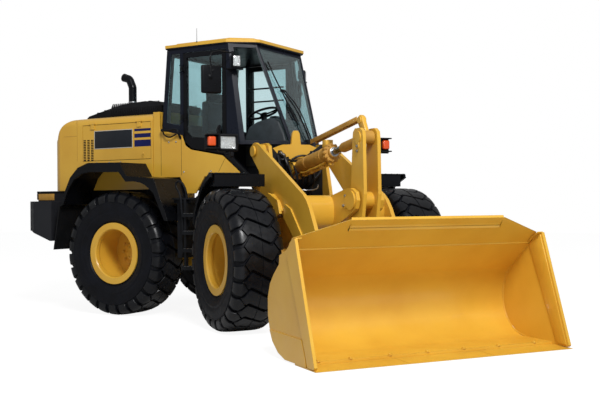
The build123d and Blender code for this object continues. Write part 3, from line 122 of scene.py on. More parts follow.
finishes = {
    # two-pack machine enamel, sprayed: an even gloss over a slight orange peel
    "sprayedYellowEnamel": {"base": "#DDAD3A", "shade": "#D5A233", "patch": 420, "smear": 160,
                            "rough": (0.30, 0.42), "grain": 9, "strength": 0.12, "depth": 0.5,
                            "edge": 5, "coat": 0.25},
    # the same enamel, darker and duller: a shaded copy that paints shade on parts under and between
    # others
    "shadedYellowEnamel": {"base": "#C08F38", "shade": "#AD7F30", "patch": 120, "smear": 60,
                          "rough": (0.42, 0.58), "grain": 6, "strength": 0.2, "depth": 0.5,
                          "edge": 3},
    # gloss black enamel on pressed sheet: clean highlights along every rolled edge
    "sprayedBlackEnamel": {"base": "#08090C", "shade": "#0D0F14", "patch": 300, "smear": 120,
                           "rough": (0.24, 0.36), "grain": 10, "strength": 0.12, "depth": 0.5,
                           "edge": 6, "specular": 0.18},
    # satin black enamel on brackets and steps: flatter, greyed by shoe dust
    "satinBlackEnamel": {"base": "#0C0D10", "shade": "#15171B", "patch": 150, "smear": 60,
                         "rough": (0.40, 0.55), "grain": 5, "strength": 0.2, "depth": 0.6,
                         "edge": 4, "specular": 0.15},
    # dark grey enamel over a sand casting: the sand shows as a shallow pitting
    "castGreyEnamel": {"base": "#242529", "shade": "#1F2024", "patch": 260, "smear": 90,
                       "rough": (0.42, 0.56), "grain": 14, "strength": 0.45, "depth": 1.2,
                       "edge": 8, "specular": 0.18},
    # navy enamel on the cab's pressed sections
    "sprayedNavyEnamel": {"base": "#131824", "shade": "#10141F", "patch": 300, "smear": 120,
                          "rough": (0.26, 0.38), "grain": 10, "strength": 0.12, "depth": 0.5,
                          "edge": 6, "specular": 0.18},
    # moulded black ABS with a spark-eroded grain, drawn coarser than the real one
    "mouldedBlackAbs": {"base": "#0D0E11", "shade": "#131418", "patch": 180, "smear": 70,
                        "rough": (0.45, 0.6), "grain": 3, "strength": 0.3, "depth": 0.4,
                        "edge": 4, "specular": 0.15},
    # moulded grey ABS of the dashboard, its tone drifting at random
    "greyDashAbs": {"base": "#343B40", "shade": "#2A3034", "patch": 120, "smear": 60,
                    "rough": (0.5, 0.65), "grain": 3, "strength": 0.3, "depth": 0.4, "edge": 4},
    # carbon-black tyre rubber, cured in a polished mould: bluish, with a dull bloom
    "tyreSidewallRubber": {"base": "#0B0C10", "shade": "#101219", "patch": 150, "smear": 50,
                           "rough": (0.42, 0.58), "grain": 7, "strength": 0.2, "depth": 0.6,
                           "specular": 0.14},
    # the same rubber on the lugs, wiped glossy on its crests
    "tyreTreadRubber": {"base": "#08090D", "shade": "#0F1116", "patch": 90, "smear": 40,
                        "rough": (0.26, 0.42), "grain": 6, "strength": 0.2, "depth": 0.6,
                        "specular": 0.3},
    # extruded hose cover: smooth nitrile rubber
    "extrudedHoseRubber": {"base": "#0A0B0E", "shade": "#101115", "patch": 60, "smear": 30,
                           "rough": (0.35, 0.5), "grain": 4, "strength": 0.25, "depth": 0.4,
                           "specular": 0.35},
    # sheet rubber of the mud flaps; the same black makes the sheet of painted shade behind the boom
    "sheetRubberAndShade": {"base": "#08090B", "shade": "#0E0F12", "patch": 140, "smear": 50,
                    "rough": (0.5, 0.66), "grain": 8, "strength": 0.4, "depth": 1.0, "edge": 3,
                    "specular": 0.25},
    # zinc-plated steel of bolts and hose fittings
    "zincPlatedSteel": {"base": "#B9BBBC", "shade": "#9FA2A6", "patch": 20, "smear": 12,
                        "rough": (0.22, 0.38), "grain": 3, "strength": 0.2, "depth": 0.3,
                        "metallic": 1},
    # hard chrome on the cylinder rods, under a film of oil
    "hardChrome": {"base": "#8E9094", "shade": "#7D8085", "patch": 60, "smear": 40,
                   "rough": (0.08, 0.16), "grain": 5, "strength": 0.05, "depth": 0.2,
                   "metallic": 1},
    # turned pin steel with grease on it
    "greasedPinSteel": {"base": "#6B6659", "shade": "#4F4B42", "patch": 40, "smear": 20,
                        "rough": (0.3, 0.5), "grain": 4, "strength": 0.25, "depth": 0.4,
                        "metallic": 0.8, "edge": 3},
    # calendered decal film: flat, evenly glossy
    "navyDecalFilm": {"base": "#12174E", "shade": "#151B57", "patch": 200, "smear": 80,
                      "rough": (0.3, 0.4), "grain": 6, "strength": 0.05, "depth": 0.2,
                      "specular": 0.2},
    "slateDecalFilm": {"base": "#20242A", "shade": "#1B1F25", "patch": 200,
                       "smear": 80, "rough": (0.3, 0.4), "grain": 6, "strength": 0.05,
                       "depth": 0.2, "specular": 0.25},
    "paleDecalFilm": {"base": "#C9C6BC", "shade": "#BDBAB0", "patch": 200, "smear": 80,
                      "rough": (0.3, 0.4), "grain": 6, "strength": 0.05, "depth": 0.2},
    # aluminised reflector bowl
    "aluminisedReflector": {"base": "#E8E8E8", "shade": "#D4D6D8", "patch": 14, "smear": 10,
                            "rough": (0.16, 0.3), "grain": 8, "strength": 0.6, "depth": 1.5,
                            "metallic": 0.6},
    # back-silvered glass of the mirrors
    "silveredGlass": {"base": "#C6CDD2", "shade": "#BCC4CA", "patch": 200, "smear": 90,
                      "rough": (0.02, 0.05), "grain": 30, "strength": 0.02, "depth": 0.1,
                      "metallic": 1},
    # flat-woven polyester seat cover
    "wovenSeatPolyester": {"base": "#23272F", "shade": "#2D323C", "patch": 60, "smear": 30,
                           "rough": (0.8, 0.92), "grain": 3, "strength": 0.5, "depth": 0.8,
                           "sheen": 0.3},
}
paints = {name: worked(name, look) for name, look in finishes.items()}


def tintedPane(name, tint, roughness):
    # clear float glass or polycarbonate, tinted through its mass
    made, tree, shader = newMaterial(name)
    place = addNode(tree, "ShaderNodeTexCoord").outputs["Object"]
    film = addNode(tree, "ShaderNodeTexNoise", None, {"Vector": place, "Scale": 3.0})
    level = addNode(tree, "ShaderNodeMapRange", None,
                    {"Value": film.outputs[0], "To Min": roughness, "To Max": roughness + 0.02})
    tree.links.new(level.outputs[0], shader.inputs["Roughness"])
    shader.inputs["Base Color"].default_value = linear(tint)
    shader.inputs["Transmission Weight"].default_value = 1
    shader.inputs["IOR"].default_value = 1.45
    return made


paints["tealCabGlass"] = tintedPane("tealCabGlass", "#BFD9DC", 0.0)
paints["clearLampGlass"] = tintedPane("clearLampGlass", "#F4F6F6", 0.02)


def lampLens(name, tint):
    # ribbed acrylic lens: vertical prisms 6 mm apart
    made, tree, shader = newMaterial(name)
    place = addNode(tree, "ShaderNodeTexCoord").outputs["Object"]
    ribs = addNode(tree, "ShaderNodeTexWave", {"bands_direction": "Z"},
                   {"Vector": place, "Scale": 26.0, "Distortion": 0.2})
    relief = addNode(tree, "ShaderNodeBump", None,
                     {"Strength": 0.5, "Distance": 0.002, "Height": ribs.outputs[0]})
    tree.links.new(relief.outputs[0], shader.inputs["Normal"])
    shader.inputs["Base Color"].default_value = linear(tint)
    shader.inputs["Roughness"].default_value = 0.18
    shader.inputs["Coat Weight"].default_value = 0.6
    shader.inputs["Subsurface Weight"].default_value = 0.2
    shader.inputs["Subsurface Scale"].default_value = 0.01
    return made


paints["amberAcrylic"] = lampLens("amberAcrylic", "#E2561E")
paints["redAcrylic"] = lampLens("redAcrylic", "#B3161B")

nodePaints = {
    "sprayedYellowEnamel": ["hood", "cab_roof", "side_panels", "boom", "bell_crank", "bucket",
                            "bucket_link", "cutting_edge", "crank_pin", "bucket_pins",
                            "engine_door_left", "engine_door_right", "rear_frame",
                            "front_frame", "front_left_rim", "front_right_rim", "rear_left_rim",
                            "rear_right_rim", "lift_barrels"],
    # the darker copy of the yellow: painted shade on the axles, steering cylinders and tilt
    # cylinder
    "shadedYellowEnamel": ["tilt_barrel", "rear_axle", "front_axle", "steer_barrel_left",
                          "steer_barrel_right"],
    "sprayedBlackEnamel": ["rear_fenders", "front_fenders", "exhaust_stack", "cab_door_left",
                           "cab_door_right", "mirrors"],
    "satinBlackEnamel": ["engine_block", "ladders", "handrails"],
    "castGreyEnamel": ["counterweight"],
    "sprayedNavyEnamel": ["cab_frame"],
    "mouldedBlackAbs": ["hood_cover", "cab_floor", "steering_column", "rear_grille",
                        "cab_fittings", "headlamps"],
    "sheetRubberAndShade": ["mud_flaps"],
    "hardChrome": ["tilt_rod", "lift_rods", "steer_rod_left", "steer_rod_right"],
    "greasedPinSteel": ["articulation_pins", "link_pin"],
    "tyreSidewallRubber": ["front_left_tyre", "front_right_tyre", "rear_left_tyre",
                           "rear_right_tyre"],
    "tealCabGlass": ["cab_glass", "cab_door_left_glass", "cab_door_right_glass"],
    "wovenSeatPolyester": ["seat"],
}
for paint, names in nodePaints.items():
    for name in names:
        mesh = frame["nodes"][name].data
        mesh.materials.clear()
        mesh.materials.append(paints[paint])
print("stage: materials")


# modelling helpers; sizes in mm in the machine's own frame, x forward, y left, z up
def clearSelection():
    if bpy.context.mode != "OBJECT":
        bpy.ops.object.mode_set(mode="OBJECT")
    bpy.ops.object.select_all(action="DESELECT")


def choose(obj):
    clearSelection()
    obj.select_set(True)
    bpy.context.view_layer.objects.active = obj


def named(name):
    obj = bpy.context.object
    obj.name = name
    obj.data.name = name
    return obj


def applied(obj, kind, settings):
    choose(obj)
    modifier = obj.modifiers.new("finish", kind)
    for key, value in settings.items():
        setattr(modifier, key, value)
    bpy.ops.object.modifier_apply(modifier=modifier.name)


def soften(obj, width, segments=2):
    if width:
        applied(obj, "BEVEL", {"width": width * mm, "segments": segments,
                               "limit_method": "ANGLE", "angle_limit": 0.6})
    choose(obj)
    bpy.ops.object.shade_smooth_by_angle(angle=0.6)
    return obj


def block(name, low, high, edge=4, segments=2):
    clearSelection()
    middle = [(a + b) / 2 * mm for a, b in zip(low, high)]
    size = [(b - a) * mm for a, b in zip(low, high)]
    bpy.ops.mesh.primitive_cube_add(size=1, location=middle, scale=size)
    bpy.ops.object.transform_apply(location=True, rotation=True, scale=True)
    return soften(named(name), edge, segments)


def plate(name, outline, across, low, high, edge=2, segments=2):
    # a sheet cut to an outline in the two axes other than across
    clearSelection()
    bpy.ops.mesh.primitive_circle_add(vertices=len(outline), radius=1, fill_type="NGON")
    obj = named(name)
    order = {"x": lambda u, v, w: (w, u, v), "y": lambda u, v, w: (u, w, v),
             "z": lambda u, v, w: (u, v, w)}[across]
    for vertex, (u, v) in zip(obj.data.vertices, outline):
        vertex.co = Vector(order(u, v, low)) * mm
    bpy.ops.object.mode_set(mode="EDIT")
    bpy.ops.mesh.select_all(action="SELECT")
    step = Vector(order(0, 0, high - low)) * mm
    bpy.ops.mesh.extrude_region_move(TRANSFORM_OT_translate={"value": step})
    bpy.ops.mesh.select_all(action="SELECT")
    bpy.ops.mesh.normals_make_consistent(inside=False)
    bpy.ops.object.mode_set(mode="OBJECT")
    return soften(obj, edge, segments)


def turned(name, start, toward, stations, count=32, edge=0):
    # a solid of revolution; stations are distance along and radius
    clearSelection()
    along, radius = stations[0]
    bpy.ops.mesh.primitive_circle_add(vertices=count, radius=radius * mm, fill_type="NGON",
                                      location=(0, 0, along * mm))
    obj = named(name)
    bpy.ops.object.transform_apply(location=True, rotation=True, scale=True)
    bpy.ops.object.mode_set(mode="EDIT")
    bpy.ops.mesh.select_all(action="SELECT")
    for far, wide in stations[1:]:
        bpy.ops.mesh.extrude_region_move(
            TRANSFORM_OT_translate={"value": (0, 0, (far - along) * mm)})
        ratio = wide / radius
        bpy.ops.transform.resize(value=(ratio, ratio, 1), center_override=(0, 0, far * mm))
        along, radius = far, wide
    bpy.ops.mesh.select_all(action="SELECT")
    bpy.ops.mesh.normals_make_consistent(inside=False)
    bpy.ops.object.mode_set(mode="OBJECT")
    heading = Vector(toward).to_track_quat("Z", "Y").to_matrix().to_4x4()
    obj.data.transform(Matrix.Translation(Vector(start) * mm) @ heading)
    return soften(obj, edge)


def pipe(name, points, radius, rings=3, steps=8):
    # a tube on one smooth curve through the points
    clearSelection()
    bpy.ops.curve.primitive_bezier_curve_add(location=(0, 0, 0))
    obj = named(name)
    run = obj.data.splines[0]
    run.bezier_points.add(len(points) - 2)
    for knot, place in zip(run.bezier_points, points):
        knot.co = Vector(place) * mm
        knot.handle_left_type = knot.handle_right_type = "AUTO"
    obj.data.dimensions = "3D"
    obj.data.bevel_depth = radius * mm
    obj.data.bevel_resolution = rings
    obj.data.resolution_u = steps
    obj.data.use_fill_caps = True
    bpy.ops.object.convert(target="MESH")
    return soften(bpy.context.object, 0)


def joined(name, parts):
    clearSelection()
    for part in parts:
        part.select_set(True)
    bpy.context.view_layer.objects.active = parts[0]
    bpy.ops.object.join()
    return named(name)


def copied(obj, place):
    made = obj.copy()
    made.data = obj.data.copy()
    made.data.transform(place)
    bpy.context.scene.collection.objects.link(made)
    return made


def repeated(name, obj, places):
    # the piece at each place, as one mesh; the model itself is used up
    parts = [copied(obj, place) for place in places]
    bpy.data.objects.remove(obj)
    return joined(name, parts)


def shift(x, y, z):
    return Matrix.Translation(Vector((x, y, z)) * mm)


def span(side, inner, outer):
    # low and high y of a stretch on one side of the machine
    return sorted((side * inner, side * outer))


def ringOf(name, obj, count, centre, axis, share=1.0, first=0.0):
    place = shift(*centre)
    turns = [place @ Matrix.Rotation(math.tau * (first + share * k / count), 4, axis)
             @ place.inverted() for k in range(count)]
    return repeated(name, obj, turns)


def framing(low, high, y, width, lap):
    # four strips round a rectangle in x and z; lap is how far the uprights run past it
    (left, bottom), (right, top) = low, high
    strips = [((left - width, top), (right + width, top + width)),
              ((left - width, bottom - width), (right + width, bottom)),
              ((left - width, bottom - lap), (left, top + lap)),
              ((right, bottom - lap), (right + width, top + lap))]
    return [((a[0], y[0], a[1]), (b[0], y[1], b[1])) for a, b in strips]


def bolts(name, places, toward, size=12, height=10):
    # hex heads on washers
    head = turned(name + "Head", (0, 0, 0), toward,
                  [(0, size * 1.35), (3, size * 1.35), (3.1, size), (height, size),
                   (height + 1.5, size * 0.8)], 12)
    return repeated(name, head, [shift(*place) for place in places])


def settle(obj, body, paint=None):
    # from the machine's frame to the part's frame, painted and riding on its body
    obj.data.transform(rearPlace if body in rearBodies else frontPlace)
    if paint:
        obj.data.materials.clear()
        obj.data.materials.append(paints[paint])
    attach(obj, body)
    return obj


# tyres; outlines are distance from the middle line and radius
tread = {"lugs": 26, "height": 32, "halfWidth": 235, "embed": 4, "facets": 120}
crownLine = [(0, 706), (110, 705), (180, 701), (208, 690), (226, 670), (236, 644), (243, 620)]
carcassLine = crownLine + [(250, 612), (259, 608), (260, 600), (257, 596), (258, 588), (261, 560),
                           (262, 530), (262, 502), (259, 496), (260, 478), (262, 472), (261, 466),
                           (257, 460), (252, 440), (240, 414), (228, 398), (227, 391), (214, 384),
                           (207, 372), (205, 350), (205, 319)]
innerLine = [(176, 319), (176, 368), (217, 480), (217, 570), (172, 662)]
shoulderLine = crownLine + [(250, 598)]   # what the lugs stand on


def shoulderPoint(reach):
    # place and outward normal on the carcass at a distance from its middle line
    left = abs(reach)
    for (a, r), (b, s) in zip(shoulderLine, shoulderLine[1:]):
        run = math.hypot(b - a, s - r)
        if left <= run or (b, s) == shoulderLine[-1]:
            share = left / run
            side = math.copysign(1, reach)
            return (side * (a + (b - a) * share), r + (s - r) * share,
                    side * (r - s) / run, (b - a) / run)
        left -= run


def along(table, t):
    for (a, v), (b, w) in zip(table, table[1:]):
        if t <= b:
            return v + (w - v) * (t - a) / (b - a)
    return table[-1][1]


zigTable = [(-2, 0), (-0.78, 0), (-0.45, 0.62), (0.45, 0.0), (0.78, 0.62), (2, 0.62)]
heightTable = [(0, 1), (0.9, 1), (1.0, 0.9), (1.12, 0.75), (1.2, 0.6), (1.26, 0.35), (1.32, -0.12)]
grooveTable = [(0, 13), (0.5, 14), (0.85, 17), (1.1, 28), (1.4, 30)]   # half the gap beside a lug
# stations across the lug: place at its low edge, at its high edge, and depth of a sipe there
halfStations = [(-1.32, -1.32, 1), (-1.28, -1.28, 1), (-1.2, -1.2, 1), (-1.12, -1.12, 1),
                (-1.05, -1.05, 1), (-1.0, -1.0, 1), (-0.92, -0.95, 1), (-0.78, -0.88, 1),
                (-0.66, -0.82, 1), (-0.58, -0.79, 1), (-0.57, -0.78, 0.35), (-0.545, -0.755, 0.35),
                (-0.535, -0.745, 1), (-0.48, -0.64, 1), (-0.42, -0.52, 1), (-0.34, -0.42, 1),
                (-0.2, -0.25, 1), (-0.04, -0.04, 1), (-0.03, -0.03, 0.82)]
lugStations = halfStations + [(-high, -low, dip) for low, high, dip in halfStations[::-1]]
crossSection = [(0, 0, -1), (0, 1, 0.72), (0, 6, 0.98), (0.35, 0, 1), (0.65, 0, 1),
                (1, -6, 0.98), (1, -1, 0.72), (1, 0, -1)]


def zig(t):
    return (along(zigTable, t - 0.05) + along(zigTable, t) + along(zigTable, t + 0.05)) / 3


def lugPoint(station, cut):
    low, high, dip = station
    share, inset, rise = cut
    t = low + (high - low) * share
    pitch = math.tau * layout["tyreRadius"] / tread["lugs"]
    start = zig(low) * pitch + along(grooveTable, abs(low))
    end = (zig(high) + 1) * pitch - along(grooveTable, abs(high))
    around = start + (end - start) * share + inset
    a, r, outA, outR = shoulderPoint(t * tread["halfWidth"])
    tall = along(heightTable, abs(t)) * dip * rise * tread["height"]
    if rise < 0:
        tall = -tread["embed"]
    angle = around / layout["tyreRadius"]
    radius = r + outR * tall
    return Vector((radius * math.cos(angle), a + outA * tall, radius * math.sin(angle))) * mm


# one lug on a flat grid, bent on to the shoulder point by point
clearSelection()
acrossCount, roundCount = len(lugStations) - 1, len(crossSection) - 1
bpy.ops.mesh.primitive_grid_add(x_subdivisions=acrossCount, y_subdivisions=roundCount, size=2)
lug = named("treadLug")
for vertex in lug.data.vertices:
    station = round((vertex.co.x + 1) / 2 * acrossCount)
    corner = round((vertex.co.y + 1) / 2 * roundCount)
    vertex.co = lugPoint(lugStations[station], crossSection[corner])
bpy.ops.object.mode_set(mode="EDIT")
bpy.ops.mesh.select_all(action="DESELECT")
bpy.ops.mesh.select_mode(type="EDGE")
bpy.ops.mesh.select_non_manifold()
bpy.ops.mesh.edge_face_add()
bpy.ops.mesh.select_all(action="SELECT")
bpy.ops.mesh.quads_convert_to_tris()
bpy.ops.mesh.normals_make_consistent(inside=False)
bpy.ops.mesh.select_mode(type="VERT")
bpy.ops.object.mode_set(mode="OBJECT")
soften(lug, 0)
lug.data.materials.append(paints["tyreTreadRubber"])
lugRing = ringOf("treadLugs", lug, tread["lugs"], (0, 0, 0), "Y")

profile = carcassLine + innerLine
profile = profile + [(-a, r) for a, r in profile[::-1] if a > 0]
clearSelection()
bpy.ops.mesh.primitive_circle_add(vertices=len(profile), radius=1, fill_type="NOTHING")
carcass = named("tyreCarcass")
for vertex, (a, r) in zip(carcass.data.vertices, profile):
    vertex.co = Vector((0, a, r)) * mm
bpy.ops.object.mode_set(mode="EDIT")
bpy.ops.mesh.select_all(action="SELECT")
bpy.ops.mesh.spin(steps=tread["facets"], angle=math.tau, center=(0, 0, 0), axis=(0, 1, 0))
bpy.ops.mesh.select_all(action="SELECT")
bpy.ops.mesh.remove_doubles(threshold=0.0002)
bpy.ops.mesh.normals_make_consistent(inside=False)
bpy.ops.object.mode_set(mode="OBJECT")
soften(carcass, 0)
carcass.data.materials.append(paints["tyreSidewallRubber"])
tyre = joined("tyre", [carcass, lugRing])
wheelNames = {"front_left": (wheelX, wheelY), "front_right": (wheelX, -wheelY),
              "rear_left": (-wheelX, wheelY), "rear_right": (-wheelX, -wheelY)}
for name, (x, y) in wheelNames.items():
    piece = copied(tyre, shift(x, y, layout["tyreRadius"]))
    piece.name = piece.data.name = name + "_treaded_tyre"
    settle(piece, name + "_wheel", None)
    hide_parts(name + "_tyre")
bpy.data.objects.remove(tyre)
print("stage: tyres")

# wheel nuts and hub covers
hub = {"nutRadius": 182, "nuts": 12, "nutSize": 17, "face": 175, "cover": 135, "screws": 8}
for name, (x, y) in wheelNames.items():
    out = 1 if y > 0 else -1
    centre = (x, y, layout["tyreRadius"])
    disc = y - out * hub["face"]
    nut = turned("wheelNut", (x + hub["nutRadius"], disc, centre[2]), (0, out, 0),
                 [(0, 25), (4, 25), (4.1, hub["nutSize"]), (22, hub["nutSize"]), (24, 13),
                  (24.1, 10), (34, 10), (35, 8)], 12)
    nuts = ringOf(name + "_wheel_nuts", nut, hub["nuts"], centre, "Y")
    settle(nuts, name + "_wheel", "sprayedYellowEnamel")
    cap = turned("hubCap", (x, y - out * hub["cover"], centre[2]), (0, out, 0),
                 [(0, 112), (8, 112), (12, 106), (12.1, 62), (20, 58), (22, 52)], 48)
    screw = turned("hubScrew", (x + 86, y - out * hub["cover"] + out * 12, centre[2]),
                   (0, out, 0), [(0, 9), (7, 9), (8, 7)], 12)
    screws = ringOf("hubScrews", screw, hub["screws"], centre, "Y")
    settle(joined(name + "_hub_cover", [cap, screws]), name + "_wheel",
           "sprayedYellowEnamel")
    valve = turned(name + "_valve", (x + 262, y - out * 60, centre[2] - 30), (-0.4, out, 0),
                   [(0, 7), (18, 7), (19, 5), (40, 5), (41, 3)], 16)
    settle(valve, name + "_wheel", "greasedPinSteel")
print("stage: wheels")

# engine hood: stripes, bare plate, perforated strip drawn as black slabs of painted shade, louvres,
# latches
hoodSide = {"face": 755, "film": 0.8, "stripes": [(2218, 2248), (2138, 2188), (2028, 2110)],
            "plate": [(-2110, 2028), (-1493, 2243)], "rim": 8,
            "holes": 39, "holeStep": (64, 21), "firstHole": (-2282, 1884)}
engineDoor = {"low": (-2321, 1869), "high": (-1194, 2331), "gap": 5, "shell": 750}
for hand, side in sides.items():
    door = "engine_door_" + hand
    y0, y1 = sorted((side * (hoodSide["face"] - 0.4), side * (hoodSide["face"] + hoodSide["film"])))
    bands = [block("band", (-1456, y0, low), (-1197, y1, high), 0)
             for low, high in hoodSide["stripes"]]
    settle(joined(door + "_stripes", bands), door, "navyDecalFilm")
    y2 = side * (hoodSide["face"] + 2.5)
    raised = (min(y0, y2), max(y1, y2))
    (left, bottom), (right, top) = hoodSide["plate"]
    barePlate = block(door + "_bare_plate", (left, raised[0], bottom), (right, raised[1], top), 1.2)
    settle(barePlate, door, "slateDecalFilm")
    rimStrips = [block("rim", low, high, 1)
                 for low, high in framing(*hoodSide["plate"], raised, hoodSide["rim"], 0)]
    settle(joined(door + "_plate_rim", rimStrips), door, "paleDecalFilm")
    # the holes are not cut: black slabs on the face are painted shade where the holes are
    hole = block("hole", (-21, -1.2, -7), (21, 1.2, 7), 1)
    (startX, startZ), (stepX, stepZ) = hoodSide["firstHole"], hoodSide["holeStep"]
    places = [shift(startX + stepX * (k % 3), side * hoodSide["face"], startZ + stepZ * (k // 3))
              for k in range(hoodSide["holes"])]
    settle(repeated(door + "_air_hole_shade", hole, places), door, "mouldedBlackAbs")
    latch = turned("latch", (-1320, side * hoodSide["face"], 1925), (0, side, 0),
                   [(0, 26), (2, 26), (3, 24), (3.1, 14), (2, 12)], 32)
    grip = block("grip", (-1334, side * hoodSide["face"] - 2, 1893),
                 (-1306, side * hoodSide["face"] + 2, 1957), 2)
    settle(joined(door + "_latch", [latch, grip]), door, "sprayedYellowEnamel")
    # thin strips of the darker yellow along the hood's shut lines: painted shade in the gaps
    line = side * (hoodSide["face"] + 0.5)
    marks = [block("line", (-2415, line - 0.6, 1880), (-2411, line + 0.6, 2400), 0),
             block("line", (-2640, line - 0.6, 2198), (-2415, line + 0.6, 2202), 0)]
    settle(joined("hood_shut_line_shade_" + hand, marks), "chassis", "shadedYellowEnamel")
    shell = side * engineDoor["shell"]
    strips = framing(engineDoor["low"], engineDoor["high"], (shell - 4, shell + 4),
                     engineDoor["gap"], engineDoor["gap"])
    settle(joined(door + "_seal", [block("strip", low, high, 0) for low, high in strips]), door,
           "sprayedYellowEnamel")

louvres = {"first": -2140, "last": -1380, "fins": 26, "ribs": 9}
fins = []
for side in (1, -1):
    fin = plate("fin", [(side * 428, 2470), (side * 437, 2470), (side * 437, 2536),
                        (side * 384, 2628), (side * 376, 2628)], "x", 0, 14, 2)
    step = (louvres["last"] - louvres["first"]) / (louvres["fins"] - 1)
    for k in range(louvres["fins"]):
        fins.append(copied(fin, shift(louvres["first"] + step * k, 0, 0)))
    bpy.data.objects.remove(fin)
settle(joined("cover_louvres", fins), "chassis", "mouldedBlackAbs")
coverTop = [(-2628, 2494), (-2190, 2582), (-1956, 2614), (-1595, 2636), (-1320, 2600)]   # x, z
ribs = []
for k in range(louvres["ribs"]):
    x = -2450 + 125 * k
    top = along(coverTop, x)
    ribs.append(block("rib", (x, -350, top - 16), (x + 40, 350, top + 7), 5))
settle(joined("cover_ribs", ribs), "chassis", "mouldedBlackAbs")

grille = {"x": -2920, "bars": 16, "pitch": 30, "low": 1600, "uprights": (-482, -160, 160, 482)}
bars = []
for k in range(grille["bars"]):
    z = grille["low"] + grille["pitch"] * k
    bars.append(block("bar", (grille["x"] - 16, -470, z), (grille["x"] + 4, 470, z + 12), 3))
for y in grille["uprights"]:
    bars.append(block("bar", (grille["x"] - 20, y - 12, 1575), (grille["x"] + 2, y + 12, 2066), 3))
settle(joined("grille_bars", bars), "rear_grille", "mouldedBlackAbs")
for hand, side in sides.items():
    y0, y1 = span(side, 770, 900)
    tail = block("tail_housing_" + hand, (-2992, y0, 1386), (-2960, y1, 1476), 8, 3)
    settle(tail, "chassis", "mouldedBlackAbs")
    for lensName, inner, outer, lensPaint in (("tail_lens_", 778, 832, "redAcrylic"),
                                              ("tail_amber_", 840, 894, "amberAcrylic")):
        y0, y1 = span(side, inner, outer)
        settle(block(lensName + hand, (-2998, y0, 1394), (-2990, y1, 1468), 4, 3), "chassis",
               lensPaint)
    y0, y1 = span(side, 1008, 1014)
    # the box side takes the darker copy of the yellow: painted shade
    boxSide = block("tail_box_" + hand, (-2842, y0, 1380), (-2566, y1, 1462), 2)
    settle(boxSide, "chassis", "shadedYellowEnamel")
    boxTop = plate("tail_box_top_" + hand, [(-2552, side * 760), (-2552, side * 1024),
                                            (-2858, side * 1024), (-2968, side * 886),
                                            (-2998, side * 760)], "z", 1472, 1494, 3)
    settle(boxTop, "chassis", "satinBlackEnamel")
pipeEnd = turned("exhaust_mouth", (-2085, -200, 2984), (-0.954, 0, 0.301),
                 [(0, 53.5), (24, 53.5), (26, 50), (26.1, 45), (14, 44)], 40)
settle(pipeEnd, "chassis", "satinBlackEnamel")
clamp = turned("exhaust_clamp", (-1960, -200, 2640), (0, 0, 1),
               [(0, 57), (22, 57), (24, 54)], 40, 1)
settle(clamp, "chassis", "zincPlatedSteel")
print("stage: hood")

# lamps
for hand, side in sides.items():
    y0, y1 = span(side, 792, 1138)
    back = block("lampBack", (962, y0, 1892), (988, y1, 2063), 10, 3)
    y0, y1 = span(side, 774, 1010)
    frameRing = block("lampFrame", (985, y0, 1884), (1045, y1, 2074), 18, 4)
    choose(frameRing)
    for face in frameRing.data.polygons:
        face.select = face.normal.x > 0.99 and face.area > 0.01
    bpy.ops.object.mode_set(mode="EDIT")
    bpy.ops.mesh.select_mode(type="FACE")
    bpy.ops.mesh.inset(thickness=0.012)
    bpy.ops.mesh.extrude_region_move(TRANSFORM_OT_translate={"value": (-0.024, 0, 0)})
    bpy.ops.mesh.select_mode(type="VERT")
    bpy.ops.object.mode_set(mode="OBJECT")
    post = plate("lampPost", [(985, 1818), (1025, 1832), (1025, 1895), (985, 1895)], "y",
                 *span(side, 822, 858), 3)
    head = joined("headlamp_housing_" + hand, [back, frameRing, post])
    settle(head, "front_frame", "mouldedBlackAbs")
    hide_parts("headlamps")
    y0, y1 = span(side, 792, 992)
    bowl = block("headlamp_reflector_" + hand, (1018, y0, 1902), (1026, y1, 2056), 3)
    settle(bowl, "front_frame", "aluminisedReflector")
    glass = block("headlamp_glass_" + hand, (1030, y0, 1902), (1036, y1, 2056), 2.5)
    settle(glass, "front_frame", "clearLampGlass")
    y0, y1 = span(side, 1030, 1118)
    turn = block("turn_lamp_" + hand, (985, y0, 1938), (1046, y1, 2044), 18, 4)
    settle(turn, "front_frame", "amberAcrylic")
    y0, y1 = span(side, 985, 1136)
    guards = [block("guard", (962, y0, low), (1058, y1, high), 3)
              for low, high in ((2058, 2072), (1908, 1922))]
    y0, y1 = span(side, 985, 1000)
    guards.append(block("guard", (962, y0, 1908), (1058, y1, 2072), 3))
    settle(joined("turn_lamp_guard_" + hand, guards), "front_frame", "mouldedBlackAbs")
    knob = turned("lamp_knob_" + hand, (1000, side * 900, 1884), (0, 0, -1),
                  [(0, 12), (14, 12), (15, 20), (34, 20), (38, 15)], 24)
    settle(knob, "front_frame", "mouldedBlackAbs")

